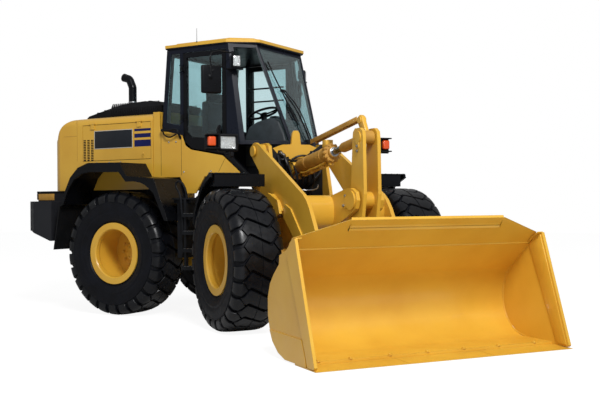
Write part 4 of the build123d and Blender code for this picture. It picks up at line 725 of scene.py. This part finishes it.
# mirrors, work lamps and aerial
mirrorWork = {"reach": {"right": 1085, "left": 900}, "turn": math.radians(-32),
              "lampTurn": math.radians(42)}
for hand, side in sides.items():
    reach = mirrorWork["reach"][hand]
    shell = block("mirrorShell", (-66, -122, 2560), (-20, 122, 2880), 22, 5)
    rearFace = block("mirror_face_" + hand, (-69, -106, 2578), (-64, 106, 2862), 2, 2)
    for part in (shell, rearFace):
        part.data.transform(shift(-20, side * reach, 0)
                            @ Matrix.Rotation(-side * mirrorWork["turn"], 4, "Z"))
    armLong = pipe("mirrorArm", [(20, side * 782, 3052), (-2, side * 850, 3050),
                                 (-28, side * (reach - 70), 3034),
                                 (-50, side * (reach - 15), 3000), (-46, side * (reach - 8), 2860),
                                 (-42, side * reach, 2760)], 9)
    armLow = pipe("mirrorStay", [(10, side * 745, 2835), (-8, side * 880, 2868),
                                 (-20, side * (reach - 80), 2860),
                                 (-34, side * (reach - 10), 2800)], 7)
    joint = turned("mirrorJoint", (-50, side * reach, 2745), (0.85, side * 0.5, 0),
                   [(0, 26), (14, 26), (16, 22), (16.1, 14), (30, 12)], 24)
    bracket = plate("lampBracket", [(-38, side * 722), (-34, side * 788), (112, side * 788),
                                    (112, side * 662), (58, side * 640)], "z", 2862, 2880, 4)
    y0, y1 = span(side, 745, 775)
    post = block("lampPost", (20, y0, 2880), (44, y1, 3070), 4)
    piece = joined("mirror_" + hand, [shell, armLong, armLow, joint, bracket, post])
    settle(piece, "chassis", "sprayedBlackEnamel")
    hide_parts("mirrors")
    settle(rearFace, "chassis", "silveredGlass")
    y0, y1 = span(side, 690, 786)
    lampShell = block("lampShell", (30, y0, 2886), (100, y1, 3022), 14, 3)
    heel = turned("lampHeel", (32, side * 738, 2954), (-1, 0, 0), [(0, 46), (16, 36), (20, 20)], 32)
    shellPiece = joined("work_lamp_" + hand, [lampShell, heel])
    bowl = block("work_lamp_bowl_" + hand, (96, y0 + 9, 2896), (103, y1 - 9, 3012), 3)
    pane = block("work_lamp_glass_" + hand, (104, y0 + 7, 2894), (108, y1 - 7, 3014), 1.8)
    outward = (shift(66, side * 745, 0) @ Matrix.Rotation(side * mirrorWork["lampTurn"], 4, "Z")
               @ shift(-66, -side * 738, 0))
    for part in (shellPiece, bowl, pane):
        part.data.transform(outward)
    settle(shellPiece, "chassis", "mouldedBlackAbs")
    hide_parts("cab_fittings")
    settle(bowl, "chassis", "aluminisedReflector")
    settle(pane, "chassis", "clearLampGlass")
aerial = turned("aerial", (-543, -680, 3222), (0, 0, 1),
                [(0, 17), (14, 16), (22, 9), (30, 4), (31, 3), (183, 2.2)], 16)
settle(aerial, "chassis", "mouldedBlackAbs")
print("stage: lamps")

# operator's station
def cushionForm(name, low, high, crown, waist):
    # a stuffed block: crowned faces, sides drawn in between the corners
    clearSelection()
    middle = Vector([(a + b) / 2 for a, b in zip(low, high)])
    half = Vector([(b - a) / 2 for a, b in zip(low, high)])
    bpy.ops.mesh.primitive_cube_add(size=2, location=(0, 0, 0))
    obj = named(name)
    bpy.ops.object.mode_set(mode="EDIT")
    bpy.ops.mesh.select_all(action="SELECT")
    bpy.ops.mesh.subdivide(number_cuts=7)
    bpy.ops.object.mode_set(mode="OBJECT")
    thin = list(half).index(min(half))
    for vertex in obj.data.vertices:
        p = vertex.co.copy()
        wide = [k for k in range(3) if k != thin]
        swell = (1 - p[wide[0]] ** 2) * (1 - p[wide[1]] ** 2)
        out = [p[0] * half[0], p[1] * half[1], p[2] * half[2]]
        for k in wide:
            other = wide[1] if k == wide[0] else wide[0]
            out[k] *= 1 - waist * (1 - p[other] ** 2) * abs(p[k]) - 0.04 * p[thin] ** 2
        out[thin] *= 1 - crown * (1 - swell)
        vertex.co = (middle + Vector(out)) * mm
    applied(obj, "SUBSURF", {"levels": 2, "render_levels": 2})
    choose(obj)
    bpy.ops.object.shade_smooth()
    return obj


cushion = cushionForm("seat_cushion", (-730, -255, 1905), (-220, 255, 2040), 0.28, 0.03)
backrest = cushionForm("seat_backrest", (-842, -235, 2050), (-700, 235, 2600), 0.30, 0.04)
headrest = cushionForm("seat_headrest", (-838, -140, 2590), (-740, 140, 2712), 0.3, 0.05)
for piece, fill in ((cushion, 0.7), (backrest, 0.7), (headrest, 0.8)):
    settle(piece, "chassis", "wovenSeatPolyester")
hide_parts("seat")
seatFrame = {"folds": 5, "arm": 300, "stem": 292}
folds = [block("fold", (-610 - 10 * (k % 2), -190 - 10 * (k % 2), 1640 + 40 * k),
               (-330 + 10 * (k % 2), 190 + 10 * (k % 2), 1684 + 40 * k), 12, 3)
         for k in range(seatFrame["folds"])]
foot = block("seatFoot", (-630, -200, 1573), (-310, 200, 1645), 8)
pan = block("seatPan", (-720, -240, 1838), (-240, 240, 1906), 14, 3)
arms = [block("arm", (-650, side * seatFrame["arm"] - 35, 2170),
              (-320, side * seatFrame["arm"] + 35, 2215), 18, 4)
        for side in (1, -1)]
stems = [block("stem", (-680, side * seatFrame["stem"] - 20, 1880),
               (-635, side * seatFrame["stem"] + 20, 2190), 10, 3)
         for side in (1, -1)]
settle(joined("seat_suspension", folds + [foot, pan] + arms + stems), "chassis",
       "mouldedBlackAbs")

steering = {"radius": 176, "thick": 14.5, "levers": (-480, -520, -560)}
wheelCentre = Vector((-50, 0, 2420))
wheelAxis = Vector((-0.33, 0, 0.944))
clearSelection()
bpy.ops.mesh.primitive_torus_add(major_segments=64, minor_segments=16,
                                 major_radius=steering["radius"] * mm,
                                 minor_radius=steering["thick"] * mm)
steeringRim = named("steeringRim")
turnTo = wheelAxis.to_track_quat("Z", "Y").to_matrix().to_4x4()
steeringRim.data.transform(Matrix.Translation(wheelCentre * mm) @ turnTo)
soften(steeringRim, 0)
spokes = []
for angle in (0, 120, 240):
    reach = turnTo @ Vector((math.cos(math.radians(angle)), math.sin(math.radians(angle)), 0))
    spokes.append(pipe("spoke", [wheelCentre - wheelAxis * 20,
                                 wheelCentre + reach * 90 - wheelAxis * 14,
                                 wheelCentre + reach * 174], 10))
hubCap = turned("steeringHub", wheelCentre - wheelAxis * 40, wheelAxis,
                [(0, 34), (20, 46), (34, 46), (40, 38)], 32)
columnBody = turned("columnBody", (60, 0, 1660), Vector((-110, 0, 760)),
                    [(0, 62), (300, 56), (560, 52), (600, 38), (735, 34)], 32)
console = plate("console", [(-90, 1592), (120, 1592), (120, 1700), (90, 1760), (20, 1770),
                            (-60, 1700)], "y", -165, 165, 14, 3)
lever = pipe("gearLever", [(-20, 30, 2330), (-30, 110, 2350), (-50, 190, 2365)], 6)
station = joined("steering_wheel", [steeringRim, hubCap, columnBody, console, lever] + spokes)
settle(station, "chassis", "mouldedBlackAbs")
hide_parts("steering_column")
sideConsole = plate("right_console", [(-700, 1575), (-150, 1575), (-120, 1980), (-180, 2120),
                                      (-330, 2150), (-700, 2080)], "y", -640, -420, 24, 4)
levers = [pipe("lever", [(-240, y, 2120), (-228, y, 2190), (-236, y, 2240)], 8)
          for y in steering["levers"]]
knobs = [turned("knob", (-236, y, 2235), (0, 0, 1), [(0, 10), (8, 18), (24, 18), (32, 10)], 24)
         for y in steering["levers"]]
settle(joined("control_console", [sideConsole] + levers + knobs), "chassis", "mouldedBlackAbs")
dash = plate("dash", [(-120, 1760), (330, 1760), (470, 2010), (440, 2140), (370, 2290),
                      (250, 2330), (60, 2290), (-60, 2230), (-120, 2100)], "y", -320, 320, 30, 4)
pod = block("pod", (90, -100, 2270), (200, 100, 2372), 26, 4)
settle(joined("dashboard", [dash, pod]), "chassis", "greyDashAbs")
rearWall = block("rear_wall_trim", (-948, -640, 1930), (-918, 640, 2296), 8)
settle(rearWall, "chassis", "mouldedBlackAbs")
rails = []
for z in (2650, 2820):
    rails.append(pipe("rail", [(-650, 640, z - 4), (-640, 662, z), (-400, 664, z), (-180, 662, z),
                               (-170, 640, z - 4)], 11))
settle(joined("door_grab_rails", rails), "cab_door_left", "mouldedBlackAbs")
print("stage: cab inside")

# cab outside: handles, wiper, roof gutter
for hand, side in sides.items():
    face = side * 725
    body = "cab_door_" + hand
    handle = pipe("handle", [(-190, face + side * 2, 2215), (-188, face + side * 40, 2200),
                             (-188, face + side * 42, 2120), (-190, face + side * 2, 2105)], 9)
    y0, y1 = sorted((face, face + side * 8))
    base = block("base", (-208, y0, 2085), (-170, y1, 2235), 4)
    settle(joined("door_handle_" + hand, [handle, base]), body, "satinBlackEnamel")


screen = {"topX": 182, "topZ": 3190, "lean": 0.3151}   # lean: mm forward for each mm down


def onScreen(y, z, lift=14):
    # a point standing off the leaning windscreen
    return (screen["topX"] + (screen["topZ"] - z) * screen["lean"] + lift, y, z)


arm1 = pipe("wiperArm", [onScreen(60, 2050, 30), onScreen(40, 2140, 34), onScreen(-60, 2420, 36),
                         onScreen(-235, 2640, 26)], 9)
arm2 = pipe("wiperStay", [onScreen(110, 2070, 30), onScreen(90, 2160, 34), onScreen(0, 2440, 36),
                          onScreen(-190, 2650, 26)], 7)
yoke = block("yoke", (354, -262, 2630), (386, -182, 2660), 5)
blade = pipe("wiperBlade", [onScreen(-375, 2980, 12), onScreen(-320, 2800, 14),
                            onScreen(-235, 2610, 14), onScreen(-150, 2400, 14),
                            onScreen(-80, 2240, 12)], 8)
motor = block("wiperMotor", (520, 20, 2010), (575, 140, 2075), 10, 3)
settle(joined("wiper", [arm1, arm2, yoke, blade, motor]), "chassis", "mouldedBlackAbs")
gutter = plate("roof_gutter", [(-964, 748), (-78, 738), (198, 530), (226, 497), (226, -497),
                               (198, -530), (-78, -738), (-964, -748)], "z", 3176, 3190, 3)
settle(gutter, "chassis", "sprayedNavyEnamel")

# panels below the cab: black strips of painted shade along the shut lines, and fasteners
panels = {"face": 747,
          "seams": [(-1043, 1660, 2420), (-735, 1660, 2150)],   # x, low z, high z
          "bolts": [(-921, 2062), (-814, 2063), (-700, 1700), (-300, 1700), (40, 1665)]}   # x, z
for hand, side in sides.items():
    face = side * panels["face"]
    y0, y1 = sorted((face - side * 1, face + side * 0.8))
    lines = [block("seam", (x - 2, y0, low), (x + 2, y1, high), 0)
             for x, low, high in panels["seams"]]
    lines.append(plate("seam", [(-100, 1843), (-96, 1843), (-190, 1688), (-194, 1688)],
                       "y", y0, y1, 0))
    settle(joined("panel_seam_shade_" + hand, lines), "chassis", "mouldedBlackAbs")
    settle(bolts("panel_bolts_" + hand, [(x, face, z) for x, z in panels["bolts"]],
                 (0, side, 0), 8, 6), "chassis", "zincPlatedSteel")

# fenders, flaps, steps
rungs = {"heights": (610, 810, 1010, 1210), "pads": 5, "pitch": 52}
fender = {"frontFirst": 790, "frontPitch": 78, "frontBolts": 6, "rearBolts": (-1700, -1500, -1320),
          "flapFirst": 820, "flapPitch": 110, "flapBolts": 4}
for hand, side in sides.items():
    across = [side * (fender["frontFirst"] + fender["frontPitch"] * k)
              for k in range(fender["frontBolts"])]
    settle(bolts("front_fender_bolts_" + hand,
                 [(1235, y, 1640) for y in across], (0.2, 0, 1), 9, 6),
           "front_frame", "zincPlatedSteel")
    settle(bolts("rear_fender_bolts_" + hand,
                 [(x, side * 1160, 1821) for x in fender["rearBolts"]], (0, 0, 1), 9, 6),
           "chassis", "zincPlatedSteel")
    settle(bolts("mud_flap_bolts_" + hand,
                 [(-2303, side * (fender["flapFirst"] + fender["flapPitch"] * k), 1268)
                  for k in range(fender["flapBolts"])], (-1, 0, -0.15), 10, 7),
           "chassis", "zincPlatedSteel")
    y0, y1 = span(side, 1064, 1156)
    pads = [block("pad", (x, y0, z), (x + 30, y1, z + 3), 1) for z in rungs["heights"]
            for x in range(-395, -395 + rungs["pitch"] * rungs["pads"], rungs["pitch"])]
    settle(joined("step_pads_" + hand, pads), "chassis", "zincPlatedSteel")
    grab = pipe("grab", [(-436, side * 1112, 960), (-440, side * 1125, 1250),
                         (-470, side * 1125, 1440), (-524, side * 1120, 1530),
                         (-510, side * 1118, 1572), (-463, side * 1116, 1572),
                         (-400, side * 1112, 1490), (-383, side * 1104, 1385)], 13)
    corner = pipe("corner", [(-1010, side * 742, 2222), (-1000, side * 790, 2206),
                             (-880, side * 800, 2200), (-762, side * 796, 2196),
                             (-746, side * 788, 2160), (-746, side * 742, 2096)], 13)
    lower = pipe("lower", [(-1004, side * 760, 2190), (-960, side * 782, 2150),
                           (-880, side * 790, 2120), (-780, side * 786, 2150)], 9)
    rails = settle(joined("handrails_" + hand, [grab, corner, lower]), "chassis",
                   "satinBlackEnamel")
    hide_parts("handrails")
braceLine = [(-75, 1935), (-20, 1870), (262, 1610), (222, 1590), (-70, 1840), (-110, 1880)]
for hand, side in reversed(sides.items()):
    brace = plate("cab_brace_" + hand, braceLine, "y", *span(side, 690, 742), 6)
    settle(brace, "chassis", "satinBlackEnamel")
print("stage: cab outside, fenders, steps")

# bucket: edge bolts, welds along the spill guard and side plates, spill guard lip, side strips and
# corner gussets
bucketWork = {"boltRow": (-1126, -830, -456, -87, 286, 656, 1051), "boltX": 3690, "boltZ": 36,
              "boltSize": 15, "inside": 1245}
edgeBolts = bolts("edge_bolts", [(bucketWork["boltX"], y, bucketWork["boltZ"])
                                 for y in bucketWork["boltRow"]],
                  (0, 0, 1), bucketWork["boltSize"], bucketWork["boltSize"])
settle(edgeBolts, "bucket", "sprayedYellowEnamel")
for weldName, reach, x, z, radius in (("spill_guard_weld", 1242, 3405, 931, 8),
                                      ("spill_guard_back_weld", 1200, 3386, 946, 6)):
    weld = pipe(weldName, [(x, y, z) for y in (-reach, -400, 400, reach)], radius)
    settle(weld, "bucket", "sprayedYellowEnamel")
cornerLine = [(3330, 38), (3180, 76), (3080, 153), (3010, 270), (2989, 400), (3016, 545),
              (3094, 672), (3397, 922)]   # x, z down the inside of a side plate
cornerWelds = [pipe("bead", [(x, side * bucketWork["inside"], z) for x, z in cornerLine], 6)
               for side in (1, -1)]
settle(joined("bucket_side_welds", cornerWelds), "bucket", "sprayedYellowEnamel")
lip = plate("spill_guard_lip", [(3556, 1086), (3566, 1082), (3600, 1180), (3640, 1177)], "y",
            -772, 772, 2)
settle(lip, "bucket", "sprayedYellowEnamel")
for hand, side in sides.items():
    strip = plate("bucket_side_strip_" + hand, [(3398, 912), (3480, 988), (3556, 1030),
                                                (3906, 32), (3776, 38)], "y",
                  *span(side, 1237, 1247), 2)
    settle(strip, "bucket", "sprayedYellowEnamel")
    gusset = plate("bucket_corner_gusset_" + hand, [(3392, 918), (3484, 992), (3570, 1038),
                                                    (3578, 1030), (3500, 1000)], "y",
                   *span(side, 1205, 1262), 2)
    settle(gusset, "bucket", "sprayedYellowEnamel")
print("stage: bucket")

# linkage: pin plates, cylinder head, positioner bar
linkage = {"lockFace": 152, "crankFace": 98, "armFace": 475}
lockPlate = [(2318, 1262), (2378, 1262), (2378, 1316), (2318, 1316)]
for hand, side in sides.items():
    face = side * linkage["lockFace"]
    lock = plate("pin_lock_" + hand, lockPlate, "y", *sorted((face - side, face + side * 12)), 3)
    settle(lock, "boom", "sprayedYellowEnamel")
    settle(bolts("pin_lock_bolts_" + hand, [(2308, face + side * 12, 1289),
                                            (2330, face, 1386)], (0, side, 0), 13, 12),
           "boom", "zincPlatedSteel")
    top = side * linkage["crankFace"]
    topPlate = plate("crank_plate_" + hand,
                     [(2470, 1850), (2530, 1850), (2535, 1985), (2465, 1985)],
                     "y", *sorted((top, top + side * 9)), 4)
    settle(topPlate, "bell_crank", "sprayedYellowEnamel")
    settle(bolts("crank_bolts_" + hand,
                 [(2500, top + side * 9, 1868), (2500, top + side * 9, 1820)],
                 (0, side, 0), 12, 10), "bell_crank", "zincPlatedSteel")
    boomFace = side * linkage["armFace"]
    # the arm bolts take the darker copy of the yellow: painted shade
    settle(bolts("arm_bolts_" + hand, [(x, boomFace + side * 16, z) for x, z in
                                       ((2395, 640), (2350, 590), (2300, 690), (2260, 640))],
                 (0, side, 0), 10, 7), "boom", "shadedYellowEnamel")
    greaseBlock = block("grease_block_" + hand,
                        (2270, min(boomFace, boomFace + side * 26), 860),
                        (2320, max(boomFace, boomFace + side * 26), 905), 4)
    settle(greaseBlock, "boom", "sprayedYellowEnamel")

# the tilt cylinder lies along tiltRun from its rear pin, tiltBase
tilt = {"pin": (940, 0, 1720), "toward": (1562, 0, 237), "barrel": 85, "collar": 92, "lobes": 12,
        "lobeAt": 784, "clips": (330, 360, 600, 630), "bands": (250, 640)}
tiltBase = Vector(tilt["pin"])
tiltRun = Vector(tilt["toward"]).normalized()
tiltUp = Vector((-tiltRun.z, 0, tiltRun.x))


def onTilt(distance, y=0, up=0):
    return tiltBase + tiltRun * distance + Vector((0, y, 0)) + tiltUp * up


# the barrel, its bands, the rod shank, rod eye and positioner take the darker copy of the yellow:
# painted shade
barrel = turned("tiltBarrel", onTilt(40), tiltRun,
                [(0, 60), (10, 80), (22, tilt["barrel"]), (740, tilt["barrel"]),
                 (744, tilt["collar"]), (792, tilt["collar"]), (796, 60), (830, 58), (834, 48)], 64)
eye = turned("tiltEye", (940, -54, 1720), (0, 1, 0), [(0, 58), (3, 62), (105, 62), (108, 58)], 40)
neck = turned("tiltNeck", onTilt(10), tiltRun, [(0, 52), (45, 58)], 32)
lobe = turned("lobe", onTilt(tilt["lobeAt"], 0, 86), tiltRun,
              [(0, 19), (44, 19), (48, 16), (48.1, 11), (58, 11), (60, 9)], 16)
tiltCentre = onTilt(tilt["lobeAt"])
lobes = []
for k in range(tilt["lobes"]):
    swing = (Matrix.Translation(tiltCentre * mm)
             @ Matrix.Rotation(math.tau * k / tilt["lobes"], 4, tiltRun)
             @ Matrix.Translation(-tiltCentre * mm))
    lobes.append(copied(lobe, swing))
bpy.data.objects.remove(lobe)
tiltCylinder = settle(joined("tilt_cylinder_barrel", [barrel, eye, neck] + lobes), "tilt_barrel",
                      "shadedYellowEnamel")
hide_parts("tilt_barrel")
seal = turned("tilt_rod_seal", onTilt(868), tiltRun, [(0, 50), (12, 50), (14, 45), (14.1, 36)], 48)
settle(seal, "tilt_barrel", "zincPlatedSteel")
ports = []
for distance, size, edge in ((90, (48, 48, 48), 5), (740, (56, 48, 56), 6)):
    corner = onTilt(distance, -24, -118)
    ports.append(block("port", tuple(corner), tuple(corner + Vector(size)), edge))
pipeRun = [onTilt(130, 0, -96), onTilt(200, 0, -112), onTilt(420, 0, -112), onTilt(620, 0, -112),
           onTilt(740, 0, -104)]
tube = pipe("tiltTube", pipeRun, 15)
tubeTwo = pipe("tiltTube", [p + Vector((0, -52, 14)) for p in pipeRun], 13)
flanges = [turned("flange", onTilt(d, -26, -100), tiltRun, [(0, 32), (16, 32), (17, 30)], 24, 1)
           for d in tilt["clips"]]
settle(joined("tilt_cylinder_pipes", ports + [tube, tubeTwo] + flanges),
       "tilt_barrel", "sprayedYellowEnamel")
saddles = [turned("saddle", onTilt(d), tiltRun, [(0, 88), (30, 88), (31, 86)], 48, 1)
           for d in tilt["bands"]]
settle(joined("tilt_cylinder_bands", saddles), "tilt_barrel", "shadedYellowEnamel")
shank = turned("tilt_rod_shank", onTilt(1060), tiltRun,
               [(0, 36), (12, 46), (40, 52), (420, 52), (465, 60), (470, 50)], 40)
settle(shank, "tilt_rod", "shadedYellowEnamel")

rodEye = turned("tilt_rod_eye", (2502, -56, 1957), (0, 1, 0),
                [(0, 62), (2, 66), (110, 66), (112, 62)], 40)
settle(rodEye, "tilt_rod", "shadedYellowEnamel")
bar = [block("bar", (0, y0, z0), (1080, y1, z1), 3) for y0, y1, z0, z1 in
       ((-34, -26, -24, 24), (26, 34, -24, 24), (-34, 34, -4, 4))]
ribsBar = [block("rib", (60 + 90 * k, -32, -20), (66 + 90 * k, 32, 18), 1) for k in range(11)]
barTurn = Matrix.Rotation(-math.atan2(tiltRun.z, tiltRun.x), 4, "Y")
positioner = joined("bucket_positioner", bar + ribsBar)
positioner.data.transform(shift(1291, 0, 1986) @ barTurn)
settle(positioner, "tilt_rod", "shadedYellowEnamel")
barLug = plate("positioner_lug", [(2345, 2128), (2362, 2170), (2401, 2186), (2440, 2170),
                                  (2462, 2120), (2530, 1990), (2500, 1950), (2430, 2000),
                                  (2368, 2088)], "y", -22, 22, 8, 3)
eyelet = turned("lugEye", (2401, -34, 2133), (0, 1, 0), [(0, 34), (2, 36), (66, 36), (68, 34)], 32)
settle(joined("positioner_lug", [barLug, eyelet]), "tilt_rod", "sprayedYellowEnamel")
switch = block("proximity_switch", (1600, -42, 1905), (1690, 46, 1985), 8)
settle(switch, "tilt_barrel", "sprayedYellowEnamel")
# a skin round the boom's cross tube, so that it reads as a rolled shell
tubeLine = [(1757, 1182), (1765, 1130), (1790, 1086), (1828, 1058), (1875, 1046), (1935, 1044),
            (1992, 1051), (2034, 1078), (2064, 1118), (2082, 1170), (2089, 1230), (2083, 1292),
            (2064, 1343), (2028, 1378), (1981, 1394), (1915, 1396), (1850, 1390), (1806, 1362),
            (1776, 1322), (1758, 1255)]
tubeSkin = plate("cross_tube_skin", tubeLine, "y", -434, 434, 0)
settle(tubeSkin, "boom", "sprayedYellowEnamel")
print("stage: linkage")

# tower plate: a black sheet of painted shade, slots, fittings, hoses
tower = {"slots": (-200, 200), "bundle": 5, "caps": 4}
# a black sheet of painted shade over the dark frame between the arms; the notch clears the tilt
# cylinder with the boom up
towerShadeSheet = plate("tower_painted_shade", [(-345, 1262), (345, 1262), (345, 1990), (300, 1985),
                                   (276, 1962), (130, 1868), (95, 1866), (95, 1590),
                                   (-95, 1590), (-95, 1846), (-196, 1834), (-325, 1972),
                                   (-345, 1972)], "x", 851, 862, 3)
settle(towerShadeSheet, "front_frame", "sheetRubberAndShade")
fittings, hoses, collars = [], [], []
for y in tower["slots"]:
    fittings.append(turned("fitting", (846, y + 10, 1885), (0.6, 0.2, -0.35),
                           [(0, 24), (14, 24), (15, 19), (40, 19), (41, 24), (60, 24), (62, 17),
                            (80, 17)], 12))
    collars.append(plate("slotRing", [(y - 34, 1815), (y + 34, 1815), (y + 38, 1870),
                                      (y + 24, 1915), (y - 24, 1915), (y - 38, 1870)],
                         "x", 846, 853, 4))
    hoses.append(pipe("hose", [(880, y + 22, 1860), (930, y + 34, 1800), (950, y + 60, 1700),
                               (940, y * 0.6 + 40, 1560), (980, y * 0.4 + 30, 1440),
                               (1060, y * 0.3, 1370)], 19))
    hoses.append(pipe("hose", [(878, y - 40, 1850), (920, y - 36, 1760), (935, y - 10, 1640),
                               (930, y * 0.7, 1500), (960, y * 0.5 - 20, 1400),
                               (1040, y * 0.4 - 40, 1330)], 16))
for k in range(tower["bundle"]):
    hoses.append(pipe("hose", [(870, -140 + 62 * k, 1800 - 6 * k), (985, -150 + 66 * k, 1720),
                               (1010 + 16 * k, -130 + 60 * k, 1600 - 12 * k),
                               (980, -110 + 48 * k, 1480), (1100, -90 + 40 * k, 1330)], 13))
for points in ([(862, -60, 1815), (890, 20, 1852), (896, 130, 1850), (866, 200, 1822)],
               [(862, -250, 1800), (905, -180, 1812), (905, -90, 1800), (866, -20, 1770)]):
    hoses.append(pipe("hose", points, 12))
settle(joined("tower_hoses", hoses), "front_frame", "extrudedHoseRubber")
settle(joined("tower_fittings", fittings), "front_frame", "zincPlatedSteel")
settle(joined("tower_slot_rings", collars), "front_frame", "mouldedBlackAbs")
bright = pipe("steel_transfer_tube", [(1010, -120, 1500), (1080, -60, 1470), (1120, 40, 1462),
                                      (1090, 140, 1480), (1040, 180, 1520)], 8)
settle(bright, "front_frame", "zincPlatedSteel")
blockValve = block("valve_block", (870, -120, 1380), (1010, 120, 1470), 8)
caps = [turned("cap", (1010, -90 + 60 * k, 1425), (1, 0, 0), [(0, 20), (18, 20), (20, 16)], 12)
        for k in range(tower["caps"])]
settle(joined("boom_valve", [blockValve] + caps), "front_frame", "satinBlackEnamel")
print("stage: tower and hoses")

# floor, light and camera
studio = {"floor": 60, "light": 0.4, "keyPlace": (7.4, -7.2, 9.6), "keyAim": (0, 0, 1.2),
          "keySize": (3.5, 3.5), "keyPower": 1500}   # metres and watts
clearSelection()
bpy.ops.mesh.primitive_plane_add(size=studio["floor"], location=(0, 0, -0.002))
floor = named("studio_floor")
made, tree, shader = newMaterial("paleStudioFloor")
shader.inputs["Base Color"].default_value = (0.6, 0.6, 0.6, 1)
shader.inputs["Roughness"].default_value = 0.9
rays = addNode(tree, "ShaderNodeLightPath")
glow = addNode(tree, "ShaderNodeEmission", None, {"Color": (1, 1, 1, 1), "Strength": 1.3})
share = addNode(tree, "ShaderNodeMath", {"operation": "MULTIPLY"},
                {0: rays.outputs["Is Camera Ray"], 1: 0.7})
surface = addNode(tree, "ShaderNodeMixShader", None,
                  {0: share.outputs[0], 1: shader.outputs[0], 2: glow.outputs[0]})
output = next(n for n in tree.nodes if n.type == "OUTPUT_MATERIAL")
tree.links.new(surface.outputs[0], output.inputs["Surface"])
floor.data.materials.append(made)

world = bpy.data.worlds.new("studioWorld")
world.use_nodes = True
bpy.context.scene.world = world
tree = world.node_tree
tree.nodes.clear()
rays = addNode(tree, "ShaderNodeLightPath")
seen = addNode(tree, "ShaderNodeMath", {"operation": "MAXIMUM"},
               {0: rays.outputs["Is Camera Ray"], 1: rays.outputs["Is Transmission Ray"]})
level = addNode(tree, "ShaderNodeMapRange", None,
                {"Value": seen.outputs[0], "To Min": studio["light"], "To Max": 1.0})
sky = addNode(tree, "ShaderNodeBackground", None,
              {"Color": (1, 1, 1, 1), "Strength": level.outputs[0]})
addNode(tree, "ShaderNodeOutputWorld", None, {"Surface": sky.outputs[0]})


def softbox(name, place, target, size, energy):
    clearSelection()
    aim = (Vector(target) - Vector(place)).to_track_quat("-Z", "Y").to_euler()
    bpy.ops.object.light_add(type="AREA", location=place, rotation=aim)
    lamp = bpy.context.object
    lamp.name = name
    lamp.data.shape = "RECTANGLE"
    lamp.data.size, lamp.data.size_y = size
    lamp.data.energy = energy
    return lamp


softbox("key_light", studio["keyPlace"], studio["keyAim"], studio["keySize"],
        studio["keyPower"])

view = {"place": (5.7048, -8.4975, 1.3222), "yaw": 120.82, "pitch": 0.17, "roll": -0.464,
        "lens": 55.64}
bpy.ops.object.camera_add(location=view["place"])
camera = bpy.context.object
camera.name = "view_camera"
heading = (Matrix.Rotation(math.radians(view["yaw"] - 90), 4, "Z")
           @ Matrix.Rotation(math.radians(90 + view["pitch"]), 4, "X")
           @ Matrix.Rotation(math.radians(view["roll"]), 4, "Z"))
camera.rotation_euler = heading.to_euler()
camera.data.lens = view["lens"]
camera.data.sensor_width = 36
camera.data.clip_end = 200
bpy.context.scene.camera = camera
bpy.context.scene.view_settings.view_transform = "Standard"
